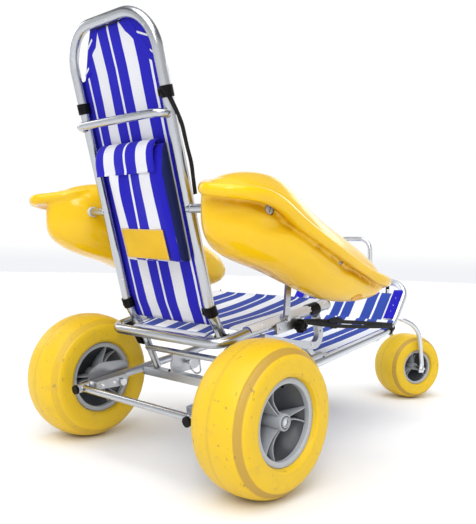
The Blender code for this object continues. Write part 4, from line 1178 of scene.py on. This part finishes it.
def rail_hem(name, side, x, radius, ends, place, low_turn, high_turn):
    """A hem that lies on a tube, from one turn to another outward of its top, in degrees."""
    sheet = Sheet()
    lift = radius + CLOTH_THICK * 1.9
    low_turn, high_turn = radians(low_turn), radians(high_turn)
    steps = 26
    for j in range(steps + 1):
        ahead = ends[0] + (ends[1] - ends[0]) * j / steps
        spot, out = place(ahead)
        around = [low_turn + (high_turn - low_turn) * i / 8 for i in range(9)]
        row = [point(side * (x + lift * sin(turn)), spot[0] + out[0] * (lift * cos(turn)),
                     spot[1] + out[1] * (lift * cos(turn))) for turn in around]
        sheet.row(row, [lift * turn for turn in around], ahead)
    return sheet.sewn(name, "chassis", "white_hem")


def rail_snap(side, x, place, ahead, turn, lift, radius):
    """A snap on a tube's cloth, turned this many degrees outward of the tube's top."""
    spot, out = place(ahead)
    turn = radians(turn)
    away = Vector((side * sin(turn), -out[0] * cos(turn), out[1] * cos(turn)))
    return snap_mesh(point(side * x, *spot) + away * lift, away, radius)


def snap_mesh(place, axis, radius):
    profile = [(0.0, 0.0003), (0.0, radius), (0.0010, radius), (0.0022, radius * 0.75), (0.0026, radius * 0.45),
               (0.0018, radius * 0.25), (0.0018, 0.0003)]
    return turned_mesh(profile, place, axis, 20)


def seat_place(ahead):
    """The seat tube's (ahead, z) middle and its outward direction."""
    rise = (SEAT_FRONT[1] - SEAT_MID[1]) / (SEAT_FRONT[0] - SEAT_MID[0])
    size = hypot(1, rise)
    return seat_spot(ahead), (-rise / size, 1 / size)


def add_seat_hems():
    sewn, snaps = [], []
    for tag, side in SIDES:
        sewn.append(rail_hem(f"seat_hem_{tag}", side, SEAT_X, SEAT_R, (0.100, 0.486), seat_place, -52, 88))
        snaps += [rail_snap(side, SEAT_X, seat_place, ahead, 52, SEAT_R + CLOTH_THICK * 2.4, 0.0045)
                  for ahead in (0.150, 0.272, 0.385, 0.462)]
    sewn.append(add("seat_snaps", joined(snaps), "chassis", "snap"))
    sheet = Sheet()
    for down, ahead, z in ((0.0, 0.0045, 0.3985), (0.01, 0.0140, 0.4022), (0.02, 0.0230, 0.4048)):
        row = [point(x, ahead, z) for x in (-0.164, -0.08, 0.0, 0.08, 0.164)]
        sheet.row(row, [-0.16, -0.08, 0.0, 0.08, 0.16], down)
    return [*sewn, sheet.sewn("seat_rear_hem", "chassis", "white_hem", thick=0.003)]


def rail_place(ahead):
    """The rail's (ahead, z) middle and its outward direction, with the knee's arc."""
    if ahead < 0.86:
        run = Vector((RAIL_KNEE[0] - RAIL_REAR[0], RAIL_KNEE[1] - RAIL_REAR[1])).normalized()
        return on_line(RAIL_REAR, RAIL_KNEE, ahead), (-run.y, run.x)
    path, _ = spaced([RAIL_REAR, RAIL_KNEE, RAIL_TOE], [KNEE_BEND], 0.004)
    near = min(range(1, len(path) - 1), key=lambda i: abs(path[i].x - ahead))
    run = (path[near + 1] - path[near - 1]).normalized()
    return (path[near].x, path[near].z), (-run.z, run.x)


def leg_reach(ahead, z):
    """The leg cloth goes round the rails, and past the knee it ends just inside them."""
    rise = max(0.0, min(1.0, (z - 0.385) / 0.030))
    return RAIL_FRONT_X + 0.004 - 0.018 * rise, radians(26) * (1 - rise)


def leg_edge(tag, side):
    """The blue band along the leg cloth's edge, up to the toe."""
    sheet = Sheet()
    for j in range(13):
        spot, out = rail_place(0.944 + 0.082 * j / 12)
        xs = [RAIL_FRONT_X + 0.002 - 0.042 * i / 6 for i in range(7)]
        highs = [RAIL_R + 0.0030 - 0.0030 * i / 6 for i in range(7)]
        row = [point(side * x, spot[0] + out[0] * high, spot[1] + out[1] * high) for x, high in zip(xs, highs)]
        sheet.row(row, xs, j * 0.008)
    return sheet.sewn(f"leg_edge_{tag}", "chassis", "blue")


def leg_rear_hem():
    sheet = Sheet()
    half, high, sag = 0.252, 0.0168, 0.0105
    for j, ahead in enumerate((0.474, 0.486, 0.498, 0.512)):
        spot, out = rail_place(ahead)
        xs = [half * (2 * i / 30 - 1) for i in range(31)]
        dip = sin(pi * max(0.04, j * 0.022)) ** 0.35
        row = [point(x, spot[0] + out[0] * high, spot[1] + out[1] * (high - sag * (1 - (x / half) ** 2) * dip))
               for x in xs]
        sheet.row(row, xs, j * 0.012)
    return sheet.sewn("leg_rear_hem", "chassis", "white_hem")


def add_leg_cloth():
    toe = Vector(RAIL_KNEE).lerp(Vector(RAIL_TOE), 0.80)
    # the leg cloth uses the lighter copy of the stripes, painted light for its upward face
    cloth, cut_size = stretched_cloth(
        "leg_cloth", [on_line(RAIL_REAR, RAIL_KNEE, 0.472), RAIL_KNEE, tuple(toe)], KNEE_BEND, RAIL_FRONT_X + 0.004,
        RAIL_R, leg_reach, 0.012, 0.0040, 23.0, "chassis", "seat_stripes", "leg_panel",
    )
    sewn, snaps = [], []
    for tag, side in SIDES:
        hem_x = RAIL_FRONT_X + 0.0035
        sewn.append(rail_hem(f"leg_hem_{tag}", side, hem_x, RAIL_R, (0.480, 0.860), rail_place, -95, 36))
        for ahead in (0.560, 0.700, 0.840, 0.968, 0.985, 1.004):
            x = RAIL_FRONT_X - (0.020 if ahead > 0.95 else 0.0)
            snaps.append(rail_snap(side, x, rail_place, ahead, 12, RAIL_R + 0.0034, 0.0040))
        sewn.append(leg_edge(tag, side))
    sewn.append(add("leg_snaps", joined(snaps), "chassis", "snap"))
    leg_rear_hem()


# Pocket


def add_pocket():
    """A pouch that hangs from under its flap on the back, with dark gussets, and a plain label sewn on."""
    left, right = 0.088, -0.150
    top, bottom = 0.946, 0.621
    levels, front, gusset = 34, 30, 5
    sheet = Sheet()
    for j in range(levels + 1):
        v = j / levels
        proud = 0.020 + 0.036 * min(1.0, v / 0.22) ** 0.7 - 0.006 * v
        close = max(0.0, (v - 0.955) / 0.045)
        proud *= 1 - 0.55 * close**2
        gather = 0.10 * hump(v, 0, 0.16)
        centre = -0.011 - 0.020 * hump(v, 0, 0.22)
        row, line = [], []
        for i in range(-gusset, front + gusset + 1):
            inside = min(1.0, max(0.0, i / front))
            x = left + (right - left) * inside
            if i < 0 or i > front:
                edge = (-i if i < 0 else i - front) / gusset
                depth = proud * (1 - edge)
                x += (0.004 if i < 0 else -0.004) * sin(pi * edge) + (-0.006 if i < 0 else 0.006) * edge
            else:
                rim = min(inside, 1 - inside) * (left - right)
                near_rim = min(1.0, rim / 0.03)
                depth = proud - 0.008 * hump(rim, 0, 0.010)
                depth += 0.006 * noise.noise(Vector((inside * 3.1, v * 2.3, 4.0))) * near_rim
                depth += 0.003 * sin(inside * pi * 3 + v * 2) * hump(v, 0.25, 0.2) * near_rim
            row.append(on_back(x, top + (bottom - top) * v, -0.004 + depth))
            line.append((x - centre) * (1.0 + gather))
        sheet.row(row, line, v * (top - bottom))
    pouch = sheet.mesh()
    pouch.materials.append(FINISH["stripes"])
    pouch.materials.append(FINISH["navy"])
    for face in pouch.polygons:
        column = face.index % (front + 2 * gusset)
        face.material_index = 1 if column < gusset - 1 or column > front + gusset else 0
    pouch = add("pocket_pouch", pouch, "backrest", "stripes", "back_pocket", CLOTH_SHARP)
    modifier(pouch, "SOLIDIFY", thickness=0.0016, offset=-1.0)
    pocket_foot(left, right, bottom)
    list(label_pieces())
    add_flap()


def pocket_foot(left, right, bottom):
    sheet = Sheet()
    for j in range(5):
        rear = -0.004 + 0.0225 * (1 - j / 4)
        xs = [left - 0.003 + (right - left + 0.006) * i / 20 for i in range(21)]
        row = [on_back(x, bottom + 0.0005 - 0.001 * sin(pi * j / 4), rear) for x in xs]
        sheet.row(row, [x + 0.011 for x in xs], 0.33 + j * 0.006)
    return sheet.sewn("pocket_foot", "backrest", "stripes", thick=0.0016)


def add_flap():
    """The flap rolls out of the back cloth, over the pouch's mouth and down."""
    left, right = 0.120, -0.136
    profile = flowing([Vector((rear, z, 0)) for rear, z in
                       ((0.000, 0.956), (0.016, 0.959), (0.032, 0.952), (0.044, 0.936), (0.0505, 0.914),
                        (0.0525, 0.893), (0.0530, 0.878))], 5)
    sheet = Sheet()
    length = 0.0
    columns = 36
    for j, spot in enumerate(profile):
        if j:
            length += (spot - profile[j - 1]).length
        share = j / (len(profile) - 1)
        row, line = [], []
        for i in range(columns + 1):
            u = i / columns
            x = left + (right - left) * u + 0.004 * share * (1 - 2 * u)
            wave = 0.0022 * sin(u * pi * 5 + 0.6) * share + 0.002 * noise.noise(Vector((u * 6, share * 2, 9)))
            row.append(on_back(x, spot.y, spot.x + wave + 0.0018 * hump(share, 0.97, 0.03)))
            line.append(left + (right - left) * u + 0.013)
        sheet.row(row, line, length)
    flap = sheet.sewn("pocket_flap", "backrest", "stripes", thick=0.0022)


def label_pieces():
    """A plain yellow patch with a stitched border."""
    corners = [(0.069, 0.639), (-0.120, 0.634), (-0.116, 0.720), (0.071, 0.724)]
    patch = band("pocket_label", corners, "label", 0.0505, grid=14)
    stitches = []
    spots = [Vector(corner) for corner in corners]
    middle = (spots[0] + spots[1] + spots[2] + spots[3]) / 4
    ring = [spot + (middle - spot).normalized() * 0.0045 for spot in spots]
    for start, end in zip(ring, ring[1:] + ring[:1]):
        count = round((end - start).length / 0.0055)
        for i in range(count):
            ends = [start.lerp(end, (i + share) / count) for share in (0.2, 0.8)]
            stitches.append(tube_mesh([on_back(*spot, 0.0518) for spot in ends], 0.0005, 6))
    return patch, add("pocket_label_stitches", joined(stitches), "backrest", "thread")


# Straps, chain and small parts


def ribbon(route, normal, width, thick):
    """A flat strap along the route, with the given direction across its thickness."""
    sheet = Sheet()
    length = 0.0
    last = len(route) - 1
    normal = Vector(normal)
    half = ((-1, -0.4), (-0.94, -1), (-0.4, -1), (0.4, -1), (0.94, -1), (1, -0.4))
    shape = [*half, *((-a, -b) for a, b in half)]
    for j, spot in enumerate(route):
        if j:
            length += (spot - route[j - 1]).length
        ahead = (route[min(j + 1, last)] - route[max(j - 1, 0)]).normalized()
        out = (normal - ahead * normal.dot(ahead)).normalized()
        over = ahead.cross(out)
        row = [spot + over * (a * width / 2) + out * (b * thick / 2) for a, b in shape]
        sheet.row(row, [a * width / 2 for a, _ in shape], length)
    return sheet.mesh(wrap=True, caps=True)


def add_leg_strap():
    """Two layers of webbing from the seat's bracket to the clamp on the right rail, with an adjuster."""
    x = -(SEAT_X + 0.0255)
    layers = []
    places = ((0.0, 0.330, 0.4335, 0.3), (0.0, 0.400, 0.4275, 1), (-0.002, 0.480, 0.4190, 1.6),
              (0.0, 0.640, 0.4050, 1.7), (0.004, 0.800, 0.3915, 1.2), (0.010, 0.905, 0.3815, 1))
    for shift, drop in ((0.0, 0.0035), (0.0034, -0.0050)):
        spots = [point(x - shift + aside, ahead, z + drop * share) for aside, ahead, z, share in places]
        layers.append(ribbon(flowing(spots, 8), (1, 0.02, 0.05), 0.0130, 0.0016))
    tail = [point(x - 0.0045, 0.470, 0.4250), point(x - 0.0075, 0.505, 0.4290), point(x - 0.0080, 0.540, 0.4215)]
    layers.append(ribbon(flowing(tail, 8), (1, 0.1, 0.1), 0.020, 0.0014))
    add("leg_webbing", joined(layers), "chassis", "webbing", "leg_strap")
    centre = point(x - 0.0030, 0.500, 0.4165)
    run = (point(x, 0.640, 0.405) - point(x, 0.420, 0.4255)).normalized()
    over = Vector((1, 0, 0)).cross(run).normalized()
    bars = [((shift, 0.0145), (shift, -0.0145)) for shift in (-0.014, 0.0, 0.014)]
    bars += [((-0.0165, side * 0.0140), (0.0165, side * 0.0140)) for side in (-1, 1)]
    bars = [tube_mesh([centre + run * along + over * aside for along, aside in ends], 0.0030, 14) for ends in bars]
    add("leg_strap_adjuster", joined(bars), "chassis", "black")
    end = point(-0.2668, 0.9080, 0.3790)
    add("leg_strap_stitch", joined(bolt_meshes(end, (-1, 0, 0), 0.0042, 0.004, 20)), "chassis", "snap")


def add_back_webbing():
    """A black strap from the upper clip down the outer side of the right leg, where it bows out twice."""
    spots = ((-0.1930, 1.086, 0.018), (-0.2000, 1.072, 0.012), (-0.2055, 1.048, 0.003), (-0.2060, 1.018, -0.008),
             (-0.2040, 0.985, -0.019), (-0.2040, 0.955, -0.021), (-0.2130, 0.925, -0.014), (-0.2220, 0.900, -0.008),
             (-0.2235, 0.878, -0.007), (-0.2160, 0.855, -0.012), (-0.2050, 0.830, -0.020), (-0.2010, 0.800, -0.021))
    strap = ribbon(flowing([on_back(*spot) for spot in spots], 6), (1, 0, 0.1), 0.0140, 0.0018)
    add("back_webbing", strap, "backrest", "webbing")


def add_clip_details():
    """White buttons and ears on the clips that hold the back cloth."""
    buttons, ears = [], []
    out = on_back(0, 1.073, 1.0) - on_back(0, 1.073, 0.0)
    for z in (1.073, 0.476):
        for _, side in SIDES:
            base = on_back(side * (BACK_X - 0.004), z, BACK_R + 0.0062)
            buttons.append(snap_mesh(base, out, 0.0052))
            low = on_back(side * (BACK_X - 0.022), z, 0.010)
            high = on_back(side * (BACK_X + 0.006), z, 0.0155)
            ears.append(ribbon([low, low.lerp(high, 0.5), high], out, 0.020, 0.0040))
    add("clip_buttons", joined(buttons), "backrest", "plug")
    add("clip_ears", joined(ears), "backrest", "black")


def link_mesh(place, along, flat, length, radius):
    """One chain link: a stretched ring of round wire."""
    along = along.normalized()
    flat = (flat - along * flat.dot(along)).normalized()
    over = along.cross(flat)
    rows = []
    for turn in turns(16):
        spot = place + along * (length / 2 * cos(turn)) + flat * (length * 0.32 * sin(turn))
        out = (along * cos(turn) + flat * sin(turn)).normalized()
        rows.append([spot + (out * cos(a) + over * sin(a)) * radius for a in turns(8)])
    return surface(rows, wrap=True, loop=True)


def add_chain():
    """The chain that keeps the lock's pin: it hangs from the pin's head to the upper cross tube."""
    spots = ((0.045, 0.150, 0.2712), (0.038, 0.150, 0.2600), (0.010, 0.146, 0.2500), (-0.030, 0.126, 0.2640),
             (-0.052, 0.102, 0.2900), (-0.060, 0.0886, 0.3133))
    route = flowing([point(*spot) for spot in spots], 24)
    pitch, length = 0.0058, 0.0082
    links, travelled = [], 0.0
    for before, after in zip(route, route[1:]):
        travelled += (after - before).length
        if travelled >= pitch:
            travelled -= pitch
            run = (after - before).normalized()
            side = run.cross(Vector((0.3, 0.2, 1))).normalized()
            flat = side if len(links) % 2 else run.cross(side)
            links.append(link_mesh(after, run, flat, length, 0.0008))
    chain = add("lock_chain_links", joined(links), None, "steel", "lock_chain", CLOTH_SHARP)
    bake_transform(chain)


def add_knobs():
    """Lobed clamping knobs with a domed cap."""
    base, grip_r, lobe = 0.0095, 0.0200, 0.0024
    for tag, side in SIDES:
        centre = point(side * STRUT_X, *KNOB)
        rows = []
        stops = ((base - 0.006, 0.45), (base - 0.006, 0.98), (base, 1.0), (base + 0.012, 1.0), (base + 0.0165, 0.93),
                 (base + 0.019, 0.80), (base + 0.0195, 0.45), (base + 0.0170, 0.40), (base + 0.0170, 0.02))
        for depth, size in stops:
            ring = []
            for turn in turns(84):
                radius = (grip_r + lobe * cos(7 * turn)) * size if size > 0.5 else grip_r * size
                ring.append(centre + Vector((side * (depth - 0.002), -radius * cos(turn), radius * sin(turn))))
            rows.append(ring)
        add(f"knob_grip_{tag}", surface(rows, wrap=True, caps=True), f"knob_{tag}", "black",
            f"knob_{tag}", 50)


def add_fasteners():
    """Bolt heads on the plates, blocks, hooks and brackets, and the struts' foot bolts."""
    bolts = []
    for _, side in SIDES:
        for x, facing, radius, tall, spots in (
            (0.2796, side, 0.0045, 0.0045, ((-0.055, 0.226), (0.050, 0.250), (0.030, 0.212), (-0.058, 0.204))),
            (rail_inside(-0.074) - 0.0346, -side, 0.0045, 0.0045, ((-0.074, 0.2065),)),
            (rail_inside(-0.030) - 0.0346, -side, 0.0045, 0.0045, ((-0.030, 0.2118),)),
            (SEAT_X + 0.010, side, 0.0040, 0.0040, ((0.405, 0.353), (0.452, 0.392), (0.300, 0.365))),
            (0.1650, -side, 0.0055, 0.0035, (HINGE,)),
            (0.2745, side, 0.0035, 0.0035, ((0.220, 0.4185),)),
        ):
            for spot in spots:
                bolts += bolt_meshes(point(side * x, *spot), (facing, 0, 0), radius, tall)
        for ahead in (0.128, 0.150):
            bolts += bolt_meshes(point(side * 0.120, ahead, 0.2424), (0, 0, 1), 0.0042, 0.0045)
    bolts += bolt_meshes(point(0.066, 0.118, 0.286), (1, 0, 0), 0.0045, 0.0040)
    add("frame_bolts", joined(bolts), "chassis", "steel")


add_camera()
make_materials()
add_chain()
add_studio()
add_frame()
carry_nodes()
add_wheels()
add_fork()
add_floats()
add_back_cloth()
add_seat_cloth()
add_leg_cloth()
add_pocket()
add_leg_strap()
add_back_webbing()
add_clip_details()
add_knobs()
add_fasteners()
